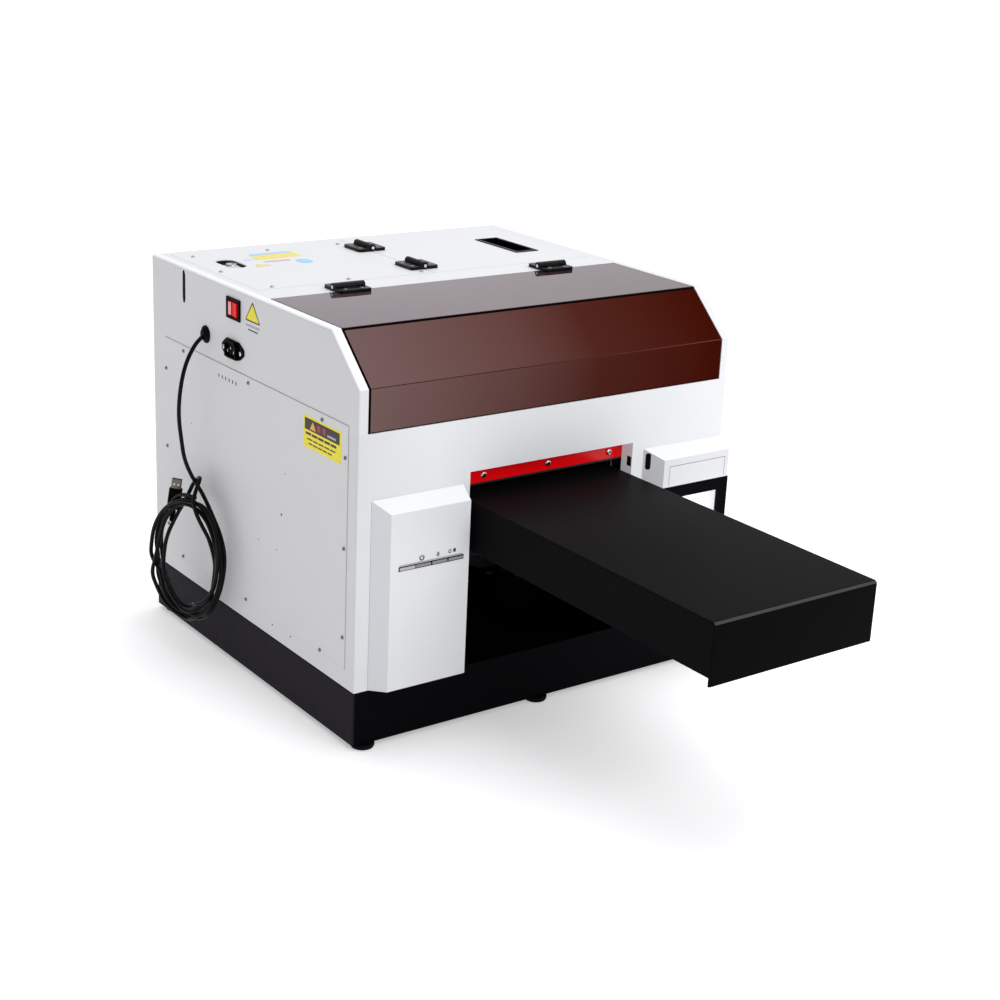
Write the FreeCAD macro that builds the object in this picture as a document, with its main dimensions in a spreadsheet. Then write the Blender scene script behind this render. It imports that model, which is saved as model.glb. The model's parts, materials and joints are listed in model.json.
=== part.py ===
import FreeCAD, Part
import math
import os
import re
import Sketcher

# Desktop flatbed UV printer, A4 class. Millimetres, +Z up, +X right seen from the front, +Y to the rear.
# The origin is on the floor, under the middle of the machine with its bed run out to the front.

doc = FreeCAD.newDocument("flatbed_uv_printer")
sheet = doc.addObject("Spreadsheet::Sheet", "dims")

DIMENSIONS = {
    # casing
    "body_width": 512, "front_y": -45, "rear_y": 435, "foot_height": 6.5, "base_top": 70, "roof": 461,
    "skin": 1.5, "rim": 11.5, "edge_round": 3, "tray_wall": 2, "foot_radius": 14, "foot_inset": 17.5,
    "foot_setback": 8, "foot_taper": 1,
    # hood of bent acrylic
    "hood_bottom": 361, "knee": 409, "crest_y": 12, "hood_rear": 163, "hood_skin": 3, "hood_gap": 1,
    # opening for the bed
    "bay_left": -112.5, "bay_right": 116.9, "bay_top": 300, "bay_return": 19,
    # pods on the front
    "pod_depth": 16, "pod_wall": 2, "pod_left": -239, "pod_right": -121, "pod_top": 288,
    "pod_bevel": 16, "pod_drop": 14, "box_left": 134, "box_bottom": 243, "box_top": 290,
    "box_bevel": 20, "box_drop": 13, "box_slot_y": -48.7, "box_slot_z": 275, "box_slot_length": 20,
    "box_slot_width": 4, "box_line": 0.5, "box_line_top": 268, "box_line_left": 162.5, "box_line_right": 250,
    "frame_left": 156.5, "frame_post": 20, "frame_head": 15.5, "frame_lap": 2, "frame_skin": 2,
    # buttons
    "button_left": -191.5, "button_width": 19.6, "button_pitch": 21.2, "button_low": 209.3,
    "button_high": 212.7, "button_proud": 1.6, "trim_left": -212, "trim_round": 1.2,
    # roof plates
    "plate_edge": 236, "plate_front": 205, "plate_rear": 425, "seam_x": 2, "seam_gap": 0.4, "ledge": 8,
    "pull_x": 184.5, "pull_y": 309, "pull_width": 35, "pull_length": 92, "pull_depth": 12,
    "latch_x": -195, "latch_y": 347, "latch_length": 50, "latch_width": 25,
    # hinges
    "leaf": 4, "leaf_width": 19.5, "leaf_round": 3, "barrel_radius": 4.5, "pin_radius": 2, "knuckle_gap": 0.4,
    "hood_hinge_left": 141, "hood_hinge_right": 149, "hood_hinge_y": 168, "hood_hinge_length": 41,
    "lid_hinge_length": 39, "lid_hinge_rear": 362.5, "lid_hinge_front": 244, "running_gap": 0.05,
    # left side fittings
    "switch_y": 224.5, "switch_z": 437.6, "inlet_y": 226.5, "inlet_z": 389.6, "inlet_half": 26.2,
    "inlet_ear": 3.5,
    "inlet_shoulder": 15, "inlet_rise": 11.6, "inlet_screw": 19.5, "gland_y": 293, "gland_z": 393.2,
    "slot_y": 349.2, "slot_z": 438.6, "slot_length": 35, "slot_width": 7.5,
    "cover_front": -26, "cover_rear": 400.5, "cover_low": 92, "cover_high": 366.5, "cover_skin": 1,
    "cover_round": 1.5,
    # bed, its slide and its lift
    "bed_x": 2.2, "bed_width": 220, "bed_front": -435, "bed_rear": 30, "bed_top": 264.6,
    "bed_lip": 199, "bed_skirt": 208, "bed_skin": 2, "bed_round": 4, "rail_offset": 39.7,
    "rail_width": 15, "rail_height": 11, "table_top": 196, "table_skin": 6, "table_half": 152,
    "table_front": -20, "table_rear": 425, "screw_offset": 139.2, "screw_y": 200, "rod_front": 30,
    "rod_rear": 390, "rod_radius": 5, "rod_top": 262, "floor_in": 10,
    # print mechanism
    "plate_x": 236, "shaft_y": 50, "shaft_z": 330, "carriage_left": 130, "carriage_right": 230,
    "carriage_front": -18, "carriage_rear": 62, "carriage_low": 284, "carriage_high": 345,
    "belt_x": 218, "belt_z": 312, "belt_front": 63, "belt_rear": 65.8, "pulley_radius": 8,
    "beam_front": 66, "beam_rear": 70, "bar_front": -25.4, "bar_rear": -21.4,
    # lead
    "cord_diameter": 4.8, "coil_half_width": 66.7, "coil_half_height": 86, "coil_band": 20, "coil_depth": 14,
}

for row, (alias, value) in enumerate(DIMENSIONS.items(), 1):
    sheet.set(f"A{row}", alias)
    sheet.set(f"B{row}", str(value))
    sheet.setAlias(f"B{row}", alias)
doc.recompute()
size = {alias: float(sheet.get(alias)) for alias in DIMENSIONS}
nodes = {}


# ---- helpers -------------------------------------------------------------------------------------------

def link(expression):
    """An expression written with plain aliases, pointed at the sheet."""
    def to_sheet(match):
        word = match.group(0)
        return "dims." + word if word in DIMENSIONS else word
    return re.sub(r"[a-z_]+", to_sheet, str(expression))


def bind(item, **expressions):
    for name, expression in expressions.items():
        item.setExpression(name.replace("__", "."), link(expression))
    return item


def place(item, x=0, y=0, z=0):
    return bind(item, Placement__Base__x=x, Placement__Base__y=y, Placement__Base__z=z)


def part(label, item):
    """Names a finished sub-part, which is then written to its own file."""
    item.Label = label
    nodes[label] = item
    return item


def slab(x, y, z, label="slab"):
    """A box between two values on each axis."""
    box = doc.addObject("Part::Box", label)
    bind(box, Length=f"({x[1]}) - ({x[0]})", Width=f"({y[1]}) - ({y[0]})", Height=f"({z[1]}) - ({z[0]})")
    return place(box, x[0], y[0], z[0])


TURNS = {
    "x": FreeCAD.Rotation(FreeCAD.Vector(0, 1, 0), 90),
    "y": FreeCAD.Rotation(FreeCAD.Vector(1, 0, 0), -90),
    "z": FreeCAD.Rotation(),
}


def rod(axis, radius, start, length, label="rod"):
    """A cylinder that runs from start along one axis."""
    cylinder = doc.addObject("Part::Cylinder", label)
    cylinder.Placement = FreeCAD.Placement(FreeCAD.Vector(), TURNS[axis])
    bind(cylinder, Radius=radius, Height=length)
    return place(cylinder, *start)


def cone(axis, radius_1, radius_2, start, length, label="cone"):
    taper = doc.addObject("Part::Cone", label)
    taper.Placement = FreeCAD.Placement(FreeCAD.Vector(), TURNS[axis])
    bind(taper, Radius1=radius_1, Radius2=radius_2, Height=length)
    return place(taper, *start)


def join(items, label="join"):
    fuse = doc.addObject("Part::MultiFuse", label)
    fuse.Shapes = items
    fuse.Refine = True
    return fuse


def group(items, label="group"):
    """Separate solids that share one sub-part, such as a set of screws."""
    compound = doc.addObject("Part::Compound", label)
    compound.Links = items
    return compound


def cut(base, tools, label="cut"):
    result = doc.addObject("Part::Cut", label)
    result.Base = base
    result.Tool = tools[0] if len(tools) == 1 else group(tools)
    result.Refine = True
    return result


def rounded(base, radius, chosen, label="rounded"):
    """The base with a fillet on the edges that chosen(edge) picks."""
    doc.recompute()
    fillet = doc.addObject("Part::Fillet", label)
    fillet.Base = base
    edges = enumerate(base.Shape.Edges, 1)
    fillet.Edges = [(number, size[radius], size[radius]) for number, edge in edges if chosen(edge)]
    return fillet


def along(edge, axis):
    """True for a straight edge that runs along one axis."""
    start = edge.Vertexes[0].Point
    end = edge.Vertexes[-1].Point
    step = end - start
    return abs(abs(getattr(step, axis)) - edge.Length) < 1e-6


def obround(axis, centre, long_axis, length, width, depth):
    """A round-ended slot cutter, from centre along axis, with its length along long_axis."""
    names = "xyz"
    low = list(centre)
    high = list(centre)
    ends = []
    for sign in ("-", "+"):
        middle = list(centre)
        number = names.index(long_axis)
        middle[number] = f"{centre[number]} {sign} ({length} - {width}) / 2"
        ends.append(rod(axis, f"({width}) / 2", middle, depth))
        (low if sign == "-" else high)[number] = middle[number]
    cross = next(number for number in range(3) if names[number] not in (axis, long_axis))
    low[cross] = f"{centre[cross]} - ({width}) / 2"
    high[cross] = f"{centre[cross]} + ({width}) / 2"
    high[names.index(axis)] = f"{centre[names.index(axis)]} + {depth}"
    return join(ends + [slab(*zip(low, high))], "slot")


def origin_plane(body, role):
    return next(feature for feature in body.Origin.OriginFeatures if feature.Role == role)


def sketch(body, role, points, offset=0, label="sketch"):
    """A closed outline on one of the body's origin planes, each corner driven by the sheet."""
    outline = body.newObject("Sketcher::SketchObject", label)
    outline.AttachmentSupport = [(origin_plane(body, role), "")]
    outline.MapMode = "FlatFace"
    bind(outline, AttachmentOffset__Base__z=offset)
    count = len(points)
    turn = 2 * math.pi / count
    ring = [FreeCAD.Vector(100 * math.cos(turn * i), 100 * math.sin(turn * i), 0) for i in range(count)]
    for i in range(count):
        outline.addGeometry(Part.LineSegment(ring[i], ring[(i + 1) % count]), False)
    for i in range(count):
        outline.addConstraint(Sketcher.Constraint("Coincident", i, 2, (i + 1) % count, 1))
    for i, corner in enumerate(points):
        for kind, expression in zip(("DistanceX", "DistanceY"), corner):
            number = outline.addConstraint(Sketcher.Constraint(kind, -1, 1, i, 1, 1.0))
            outline.setExpression(f"Constraints[{number}]", link(expression))
    return outline


def pad(body, outline, length, reversed_way=False):
    feature = body.newObject("PartDesign::Pad", "pad")
    feature.Profile = outline
    feature.Reversed = reversed_way
    return bind(feature, Length=length)


def pocket(body, outline, length, reversed_way=False):
    feature = body.newObject("PartDesign::Pocket", "pocket")
    feature.Profile = outline
    feature.Reversed = reversed_way
    return bind(feature, Length=length)


def fillet_edges(body, base, radius, chosen):
    doc.recompute()
    feature = body.newObject("PartDesign::Fillet", "fillet")
    names = [f"Edge{number}" for number, edge in enumerate(base.Shape.Edges, 1) if chosen(edge)]
    feature.Base = (base, names)
    return bind(feature, Radius=radius)


def rectangle(x, y):
    return [(x[0], y[0]), (x[1], y[0]), (x[1], y[1]), (x[0], y[1])]


def screw_head(axis, sign, centre, radius=2.9, height=1.5):
    """A pan head that lies on its seat and stands out along the axis, one way or the other."""
    start = list(centre)
    if sign > 0:
        return cone(axis, radius, 0.7 * radius, start, height, "screw")
    number = "xyz".index(axis)
    start[number] = f"{centre[number]} - {height}"
    return cone(axis, 0.7 * radius, radius, start, height, "screw")


HALF = "body_width / 2"
LEFT = "-body_width / 2"


# ---- base ----------------------------------------------------------------------------------------------

def base_tray():
    block = slab((LEFT, HALF), ("front_y", "rear_y"), ("foot_height", "base_top"), "tray_block")
    outside = rounded(block, "edge_round", lambda edge: along(edge, "z"))
    hollow = slab((LEFT + " + tray_wall", HALF + " - tray_wall"),
                  ("front_y + tray_wall", "rear_y - tray_wall"), ("floor_in", "base_top + 5"))
    part("base_tray", cut(outside, [hollow]))


def rubber_feet():
    feet = []
    for x in (LEFT + " + foot_inset", "0", HALF + " - foot_inset"):
        for y in ("front_y + foot_setback", "rear_y - foot_inset"):
            feet.append(cone("z", "foot_radius - foot_taper", "foot_radius", (x, y, 0), "foot_height",
                             "foot"))
    part("rubber_feet", group(feet))


# ---- side panels and their covers ----------------------------------------------------------------------

def side_panel(label, right_hand):
    """A bent side sheet: flat outside, with a rim turned inwards all the way round."""
    body = doc.addObject("PartDesign::Body", label + "_body")
    outline = [("front_y", "base_top"), ("front_y", "knee"), ("crest_y", "roof"), ("rear_y", "roof"),
               ("rear_y", "base_top")]
    block = pad(body, sketch(body, "YZ_Plane", outline), "rim", right_hand)
    lowest = size["base_top"]

    def outer_rim(edge):
        points = [vertex.Point for vertex in edge.Vertexes]
        return max(abs(point.x) for point in points) < 1e-6 and edge.CenterOfMass.z > lowest + 1
    fillet_edges(body, block, "edge_round", outer_rim)
    bend = "tan(atan((crest_y - front_y) / (roof - knee)) / 2)"
    hollow = [("front_y + 2 * skin", "base_top + skin"), ("front_y + 2 * skin", f"knee - skin * {bend}"),
              ("crest_y + skin * 0.4", "roof - skin"), ("rear_y - skin", "roof - skin"),
              ("rear_y - skin", "base_top + skin")]
    inner = sketch(body, "YZ_Plane", hollow, "-skin" if right_hand else "skin")
    pocket(body, inner, "rim", not right_hand)
    return place(body, HALF if right_hand else LEFT)


def front_step(inner, outer):
    """Room for the front panel, which laps over the side sheet's front rim."""
    return slab((inner, outer), ("front_y - 1", "front_y + skin"), ("base_top - 1", "hood_bottom"),
                "front_step")


def left_side_panel():
    panel = side_panel("left_side_panel", False)
    outside = LEFT + " - 1"
    openings = [
        front_step(outside, LEFT + " + rim + 1"),
        obround("x", (outside, "slot_y", "slot_z"), "z", "slot_length", "slot_width", "5"),
        slab((outside, LEFT + " + 5"), ("switch_y - 13.6", "switch_y + 13.6"),
             ("switch_z - 10.6", "switch_z + 10.6")),
        slab((outside, LEFT + " + 5"), ("inlet_y - 13.7", "inlet_y + 13.7"),
             ("inlet_z - 9.9", "inlet_z + 9.9")),
        rod("x", "8.2", (outside, "gland_y", "gland_z"), "5"),
    ]
    part("left_side_panel", cut(panel, openings))


def right_side_panel():
    panel = side_panel("right_side_panel", True)
    part("right_side_panel", cut(panel, [front_step(HALF + " - rim - 1", HALF + " + 1")]))


VENT_Y = [218.5 + 8.34 * number for number in range(6)]
VENT_Z = "352"


def access_cover(label, right_hand):
    """The service door plate: screwed flat on the outside of a side panel."""
    low, high = (HALF, HALF + " + cover_skin") if right_hand else (LEFT + " - cover_skin", LEFT)
    plate = slab((low, high), ("cover_front", "cover_rear"), ("cover_low", "cover_high"), label + "_plate")
    plate = rounded(plate, "cover_round", lambda edge: along(edge, "x"))
    vents = [obround("x", (low + " - 1", y, VENT_Z), "z", "4.6", "2.4", "4") for y in VENT_Y]
    part(label, cut(plate, vents))


# (Y, Z) of the screws round a cover, and (X, Y) of those on the roof
COVER_SCREWS = [(350, 360), (189, 360), (26, 360), (358, 95.5), (195, 95.5), (25, 95.5),
                (-22, 331), (-22, 230), (-22, 128), (397, 328), (397, 229), (397, 127)]
ROOF_SCREWS = [(-218, 400), (-116, 400), (-15, 400), (-228, 309), (-213, 214), (-112, 214), (-10, 214)]
STRIP_SCREWS = [-82, 7.2, 96]
STRIP_SCREW_Z = 287.3
STRIP_FRONT = -27


def panel_screws():
    heads = []
    for y, z in COVER_SCREWS:
        heads.append(screw_head("x", -1, (LEFT + " - cover_skin", y, z)))
        heads.append(screw_head("x", 1, (HALF + " + cover_skin", y, z)))
    for y in ("inlet_y - inlet_screw", "inlet_y + inlet_screw"):
        heads.append(screw_head("x", -1, (LEFT + " - skin", y, "inlet_z")))
    for x, y in ROOF_SCREWS:
        heads.append(screw_head("z", 1, (x, y, "roof")))
    heads += [screw_head("y", -1, (x, STRIP_FRONT, STRIP_SCREW_Z), 4, 2.4) for x in STRIP_SCREWS]
    part("panel_screws", group(heads))


# ---- front and rear ------------------------------------------------------------------------------------

def front_panel():
    body = doc.addObject("PartDesign::Body", "front_panel_body")
    outline = [(LEFT, "base_top"), ("bay_left", "base_top"), ("bay_left", "bay_top"),
               ("bay_right", "bay_top"),
               ("bay_right", "base_top"), (HALF, "base_top"), (HALF, "hood_bottom"), (LEFT, "hood_bottom")]
    face = pad(body, sketch(body, "XZ_Plane", outline), "skin")
    half_width = size["body_width"] / 2

    def outer_corner(edge):
        middle = edge.CenterOfMass
        return along(edge, "z") and abs(abs(middle.x) - half_width) < 1e-6 and middle.y < -0.1
    fillet_edges(body, face, "skin - 0.1", outer_corner)
    wrap = [("bay_left - skin", "base_top"), ("bay_left - skin", "bay_top + skin"),
            ("bay_right + skin", "bay_top + skin"), ("bay_right + skin", "base_top"),
            ("bay_right", "base_top"), ("bay_right", "bay_top"), ("bay_left", "bay_top"),
            ("bay_left", "base_top")]
    pad(body, sketch(body, "XZ_Plane", wrap), "bay_return - skin", True)
    place(body, 0, "front_y + skin")
    sensor = slab(("bay_right - 1", "bay_right + 5"), ("front_y + 2", "front_y + 8.4"), (271, 282))
    part("front_panel", cut(body, [sensor]))


def red_strip():
    part("red_strip", slab(("bay_left + 0.3", "bay_right - 0.3"), (STRIP_FRONT, "bar_front"),
                           (278.7, "bay_top - 0.3")))


def rear_panel():
    inner = HALF + " - rim - 0.2"
    sheet_metal = slab((f"-({inner})", inner), ("rear_y - skin", "rear_y"), ("base_top", "roof"),
                       "rear_sheet")
    slots = []
    for centre in (-120, 120):
        for number in range(8):
            spot = (centre, "rear_y - 4", 180 + 14 * number)
            slots.append(obround("y", spot, "x", "90", "5", "8"))
    part("rear_panel", cut(sheet_metal, slots))


# ---- pods on the front ---------------------------------------------------------------------------------

def pod(label, x, z, left_step, top_step):
    """A hollow raised box with a sloping left side and a sloping top, open at the back."""
    body = doc.addObject("PartDesign::Body", label + "_body")
    back = sketch(body, "XZ_Plane", rectangle(x, z), 0, "back")
    face_x = (f"{x[0]} + {left_step}", x[1])
    face_z = (z[0], f"{z[1]} - {top_step}")
    face = sketch(body, "XZ_Plane", rectangle(face_x, face_z), "pod_depth", "face")
    loft = body.newObject("PartDesign::AdditiveLoft", "loft")
    loft.Profile = back
    loft.Sections = [face]
    loft.Ruled = True
    inner_x = (f"{face_x[0]} + pod_wall", f"{x[1]} - pod_wall")
    inner_z = (f"{z[0]} + pod_wall", f"{face_z[1]} - pod_wall")
    hollow = sketch(body, "XZ_Plane", rectangle(inner_x, inner_z), 0, "hollow")
    pocket(body, hollow, "pod_depth - pod_wall", True)
    return place(body, 0, "front_y")


def control_pod():
    shell = pod("control_pod", ("pod_left", "pod_right"), ("base_top", "pod_top"), "pod_bevel", "pod_drop")
    slot = slab(("button_left - 0.5", "button_left + 2 * button_pitch + button_width + 0.5"),
                ("front_y - pod_depth - 1", "front_y - pod_depth + 3"),
                ("button_low - 0.4", "button_high + 0.4"), "button_slot")
    part("control_pod", cut(shell, [slot]))


def ink_pod():
    shell = pod("ink_pod", ("box_left", HALF), ("box_bottom", "box_top"), "box_bevel", "box_drop")
    face = "front_y - pod_depth"
    depth = (face + " - 1", face + " + 0.8")
    upright = ("box_bottom + pod_wall", "box_line_top + box_line")
    tools = [
        obround("x", ("box_left", "box_slot_y", "box_slot_z"), "z", "box_slot_length", "box_slot_width",
                "15"),
        slab(("box_line_left", "box_line_right"), depth, ("box_line_top", "box_line_top + box_line")),
        slab(("box_line_left", "box_line_left + box_line"), depth, upright),
        slab(("box_line_right - box_line", "box_line_right"), depth, upright),
    ]
    part("ink_pod", cut(shell, tools))


def ink_bay_frame():
    """A folded frame: a thin face with a window in it, turned back to the casing all the way round."""
    front = "front_y - pod_depth"
    right = HALF + " + frame_lap"
    block = slab(("frame_left", right), (front, "front_y - 0.2"), ("base_top", "box_bottom"), "frame_block")
    window = slab(("frame_left + frame_post", right + " - frame_post + 3"), (front + " - 1", "front_y + 1"),
                  ("base_top + frame_post", "box_bottom - frame_head"), "frame_window")
    hollow = slab(("frame_left + frame_skin", right + " - frame_skin"),
                  (front + " + frame_skin", "front_y + 1"),
                  ("base_top + frame_skin", "box_bottom - frame_skin"), "frame_hollow")
    part("ink_bay_frame", cut(block, [window, hollow]))


def buttons():
    face = "front_y - pod_depth"
    for number, label in enumerate(("power_button", "ink_button", "paper_button")):
        left = f"button_left + {number} * button_pitch"
        part(label, slab((left, left + " + button_width"), (face + " - button_proud", face + " + 4"),
                         ("button_low", "button_high"), label))
    trim = slab(("trim_left", "button_left - 0.8"), (face + " - button_proud", face),
                ("button_low", "button_high"), "trim_block")
    part("button_trim", rounded(trim, "trim_round",
                                lambda edge: along(edge, "y") and edge.CenterOfMass.x < -211))


# ---- roof ----------------------------------------------------------------------------------------------

def top_frame():
    """The fixed roof sheet: a ring round the two roof openings, with a ledge under the plates."""
    inner = HALF + " - rim - 0.2"
    ring = slab((f"-({inner})", inner), ("hood_rear + 0.4", "rear_y - skin - 0.2"), ("roof - skin", "roof"))
    opening = slab(("-plate_edge", "plate_edge"), ("plate_front", "plate_rear"), ("roof - 5", "roof + 5"))
    ledge = slab(("-plate_edge - 4", "plate_edge + 4"), ("plate_front - 4", "plate_rear + 4"),
                 ("roof - 2 * skin", "roof - skin"))
    edge = ("plate_front + ledge", "plate_rear - ledge")
    height = ("roof - 10", "roof + 5")
    left_hole = slab(("-plate_edge + ledge", "seam_x - ledge"), edge, height)
    right_hole = slab(("seam_x + ledge", "plate_edge - ledge"), edge, height)
    part("top_frame", join([cut(ring, [opening]), cut(ledge, [left_hole, right_hole])]))


def roof_plates():
    y = ("plate_front + seam_gap", "plate_rear - seam_gap")
    z = ("roof - skin", "roof")
    left = slab(("-plate_edge + seam_gap", "seam_x - seam_gap"), y, z, "left_plate")
    hole = obround("z", ("latch_x", "latch_y", "roof - 5"), "y", "latch_length", "latch_width", "10")
    part("top_plate", cut(left, [hole]))
    right = slab(("seam_x + seam_gap", "plate_edge - seam_gap"), y, z, "right_plate")
    cup = slab(("pull_x - pull_width / 2 + 2", "pull_x + pull_width / 2 - 2"),
               ("pull_y - pull_length / 2 + 2", "pull_y + pull_length / 2 - 2"), ("roof - 5", "roof + 5"))
    part("top_lid", cut(right, [cup]))


def lid_pull_bezel():
    """A recessed finger cup let into the lid."""
    def cup_box(margin, z):
        return slab((f"pull_x - pull_width / 2 + {margin}", f"pull_x + pull_width / 2 - {margin}"),
                    (f"pull_y - pull_length / 2 + {margin}", f"pull_y + pull_length / 2 - {margin}"), z)
    flange = cup_box(0, ("roof", "roof + 1"))
    cup = cup_box(2.2, ("roof - pull_depth", "roof + 0.5"))
    hollow = cup_box(4.5, ("roof - pull_depth + 2", "roof + 5"))
    part("lid_pull_bezel", cut(join([flange, cup]), [hollow]))


def hood():
    """One bent sheet of acrylic: a short front, a slope and a top, with an even thickness."""
    body = doc.addObject("PartDesign::Body", "hood_body")
    low = "hood_bottom + 0.4"
    rear = "hood_rear - 0.6"
    slope = "(crest_y - front_y) / (roof - knee)"
    knee_in = f"knee - hood_skin * tan(atan({slope}) / 2)"
    crest_in = f"crest_y + hood_skin * tan((90 deg - atan({slope})) / 2)"
    outline = [("front_y", low), ("front_y", "knee"), ("crest_y", "roof"), (rear, "roof"),
               (rear, "roof - hood_skin"), (crest_in, "roof - hood_skin"),
               ("front_y + hood_skin", knee_in), ("front_y + hood_skin", low)]
    pad(body, sketch(body, "YZ_Plane", outline), "body_width - 2 * rim - 2 * hood_gap")
    part("hood", place(body, LEFT + " + rim + hood_gap"))


# ---- hinges --------------------------------------------------------------------------------------------

def hinge_half(length, fixed):
    """A leaf and its knuckles, with the pin along X through the origin and the leaf's seat below it."""
    side = 1 if fixed else -1
    third = f"{length} / 4"
    clear = "barrel_radius + 0.6"
    far = "leaf_width"
    low = "-barrel_radius"
    high = "-barrel_radius + leaf"
    leaf_y = (clear, far) if fixed else (f"-({far})", f"-({clear})")
    leaf = slab((f"-({length}) / 2", f"({length}) / 2"), leaf_y, (low, high), "leaf")
    rim = side * size["leaf_width"]
    pieces = [rounded(leaf, "leaf_round", lambda edge: along(edge,
                                                             "z") and abs(edge.CenterOfMass.y - rim) < 1e-3)]
    if fixed:
        spans = [(f"-({length}) / 2", f"-({third})"), (third, f"({length}) / 2")]
    else:
        spans = [(f"-({third}) + knuckle_gap", f"{third} - knuckle_gap")]
    for span in spans:
        bridge_y = (0, f"{clear} + 1") if side > 0 else (f"-({clear}) - 1", 0)
        pieces.append(slab(span, bridge_y, (low, high), "bridge"))
        pieces.append(rod("x", "barrel_radius", (span[0], 0, 0), f"({span[1]}) - ({span[0]})", "knuckle"))
    bore = rod("x", "pin_radius + running_gap", (f"-({length})", 0, 0), f"2 * ({length})", "bore")
    return cut(join(pieces), [bore], "hinge_half")


def hinges():
    quarter = FreeCAD.Rotation(FreeCAD.Vector(0, 0, 1), 90)
    height = "roof + barrel_radius"
    hood_spots = [("-hood_hinge_left", "hood_hinge_y"), ("hood_hinge_right", "hood_hinge_y")]
    lid_spots = [("seam_x", "lid_hinge_rear"), ("seam_x", "lid_hinge_front")]
    pins = []
    for name, length, spots, turned in (("hood_hinge", "hood_hinge_length", hood_spots, False),
                                        ("lid_hinge", "lid_hinge_length", lid_spots, True)):
        for half, fixed in (("fixed", True), ("moving", False)):
            copies = []
            for x, y in spots:
                leaf = hinge_half(length, fixed)
                if turned:
                    leaf.Placement = FreeCAD.Placement(FreeCAD.Vector(), quarter)
                copies.append(place(leaf, x, y, height))
            part(f"{name}_{half}", group(copies))
        for x, y in spots:
            start = (f"{x} - {length} / 2 - 0.5", y, height)
            if turned:
                start = (x, f"{y} - {length} / 2 - 0.5", height)
            pins.append(rod("y" if turned else "x", "pin_radius", start, f"{length} + 1", "pin"))
    part("hinge_pins", group(pins))


# ---- switch, mains inlet and lead gland on the left side -----------------------------------------------

def rocker_switch():
    """A rocker on its pivot pin, in the well of a case with a wide rim."""
    outside = LEFT + " - 2"
    rim = slab((outside, LEFT), ("switch_y - 16.2", "switch_y + 16.2"),
               ("switch_z - 12.4", "switch_z + 12.4"))
    case = slab((LEFT + " - 1", LEFT + " + 21"), ("switch_y - 13.4", "switch_y + 13.4"),
                ("switch_z - 10.4", "switch_z + 10.4"))
    well = slab((LEFT + " - 5", LEFT + " + 10"), ("switch_y - 12.2", "switch_y + 12.2"),
                ("switch_z - 9", "switch_z + 9"))
    part("rocker_bezel", cut(join([rim, case]), [well]))
    paddle = slab((-3, 5), (-11, 11), (-8.4, 8.4), "rocker_paddle")
    key = join([paddle, rod("z", 1.5, (0, 0, -8.8), 17.6, "pivot")])
    key.Placement = FreeCAD.Placement(FreeCAD.Vector(), FreeCAD.Rotation(FreeCAD.Vector(0, 0, 1), -8))
    part("rocker", place(key, LEFT, "switch_y", "switch_z"))


def mains_inlet():
    """A socket in a plate whose ends taper to the two screws."""
    body = doc.addObject("PartDesign::Body", "inlet_flange_body")
    corners = [("-inlet_half", "-inlet_ear"), ("-inlet_shoulder", "-inlet_rise"),
               ("inlet_shoulder", "-inlet_rise"),
               ("inlet_half", "-inlet_ear"), ("inlet_half", "inlet_ear"), ("inlet_shoulder", "inlet_rise"),
               ("-inlet_shoulder", "inlet_rise"), ("-inlet_half", "inlet_ear")]
    pad(body, sketch(body, "YZ_Plane", corners), "skin", True)
    flange = place(body, LEFT, "inlet_y", "inlet_z")
    case = slab((LEFT + " - 1", LEFT + " + 24"), ("inlet_y - 13.5", "inlet_y + 13.5"),
                ("inlet_z - 9.7", "inlet_z + 9.7"))
    socket = slab((LEFT + " - 5", LEFT + " + 16"), ("inlet_y - 12", "inlet_y + 12"),
                  ("inlet_z - 8", "inlet_z + 8"))
    part("mains_inlet", cut(join([flange, case]), [socket]))
    pins = []
    for y, z in ((-7, -1.5), (0, 2.5), (7, -1.5)):
        pins.append(slab((LEFT + " + 4.5", LEFT + " + 16"), (f"inlet_y + {y} - 1", f"inlet_y + {y} + 1"),
                         (f"inlet_z + {z} - 2", f"inlet_z + {z} + 2"), "pin"))
    part("inlet_pins", group(pins))


def cable_gland():
    spot = ("gland_y", "gland_z")
    collar = rod("x", "10.4", (LEFT + " - 1.5", *spot), "1.5", "collar")
    nose = cone("x", "5.5", "9.6", (LEFT + " - 5", *spot), "3.5", "nose")
    neck = rod("x", "8", (LEFT, *spot), "8", "neck")
    part("cable_gland", join([collar, nose, neck]))


# ---- bed, its slide and its lift -----------------------------------------------------------------------

BED_LEFT = "bed_x - bed_width / 2"
BED_RIGHT = "bed_x + bed_width / 2"


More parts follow.
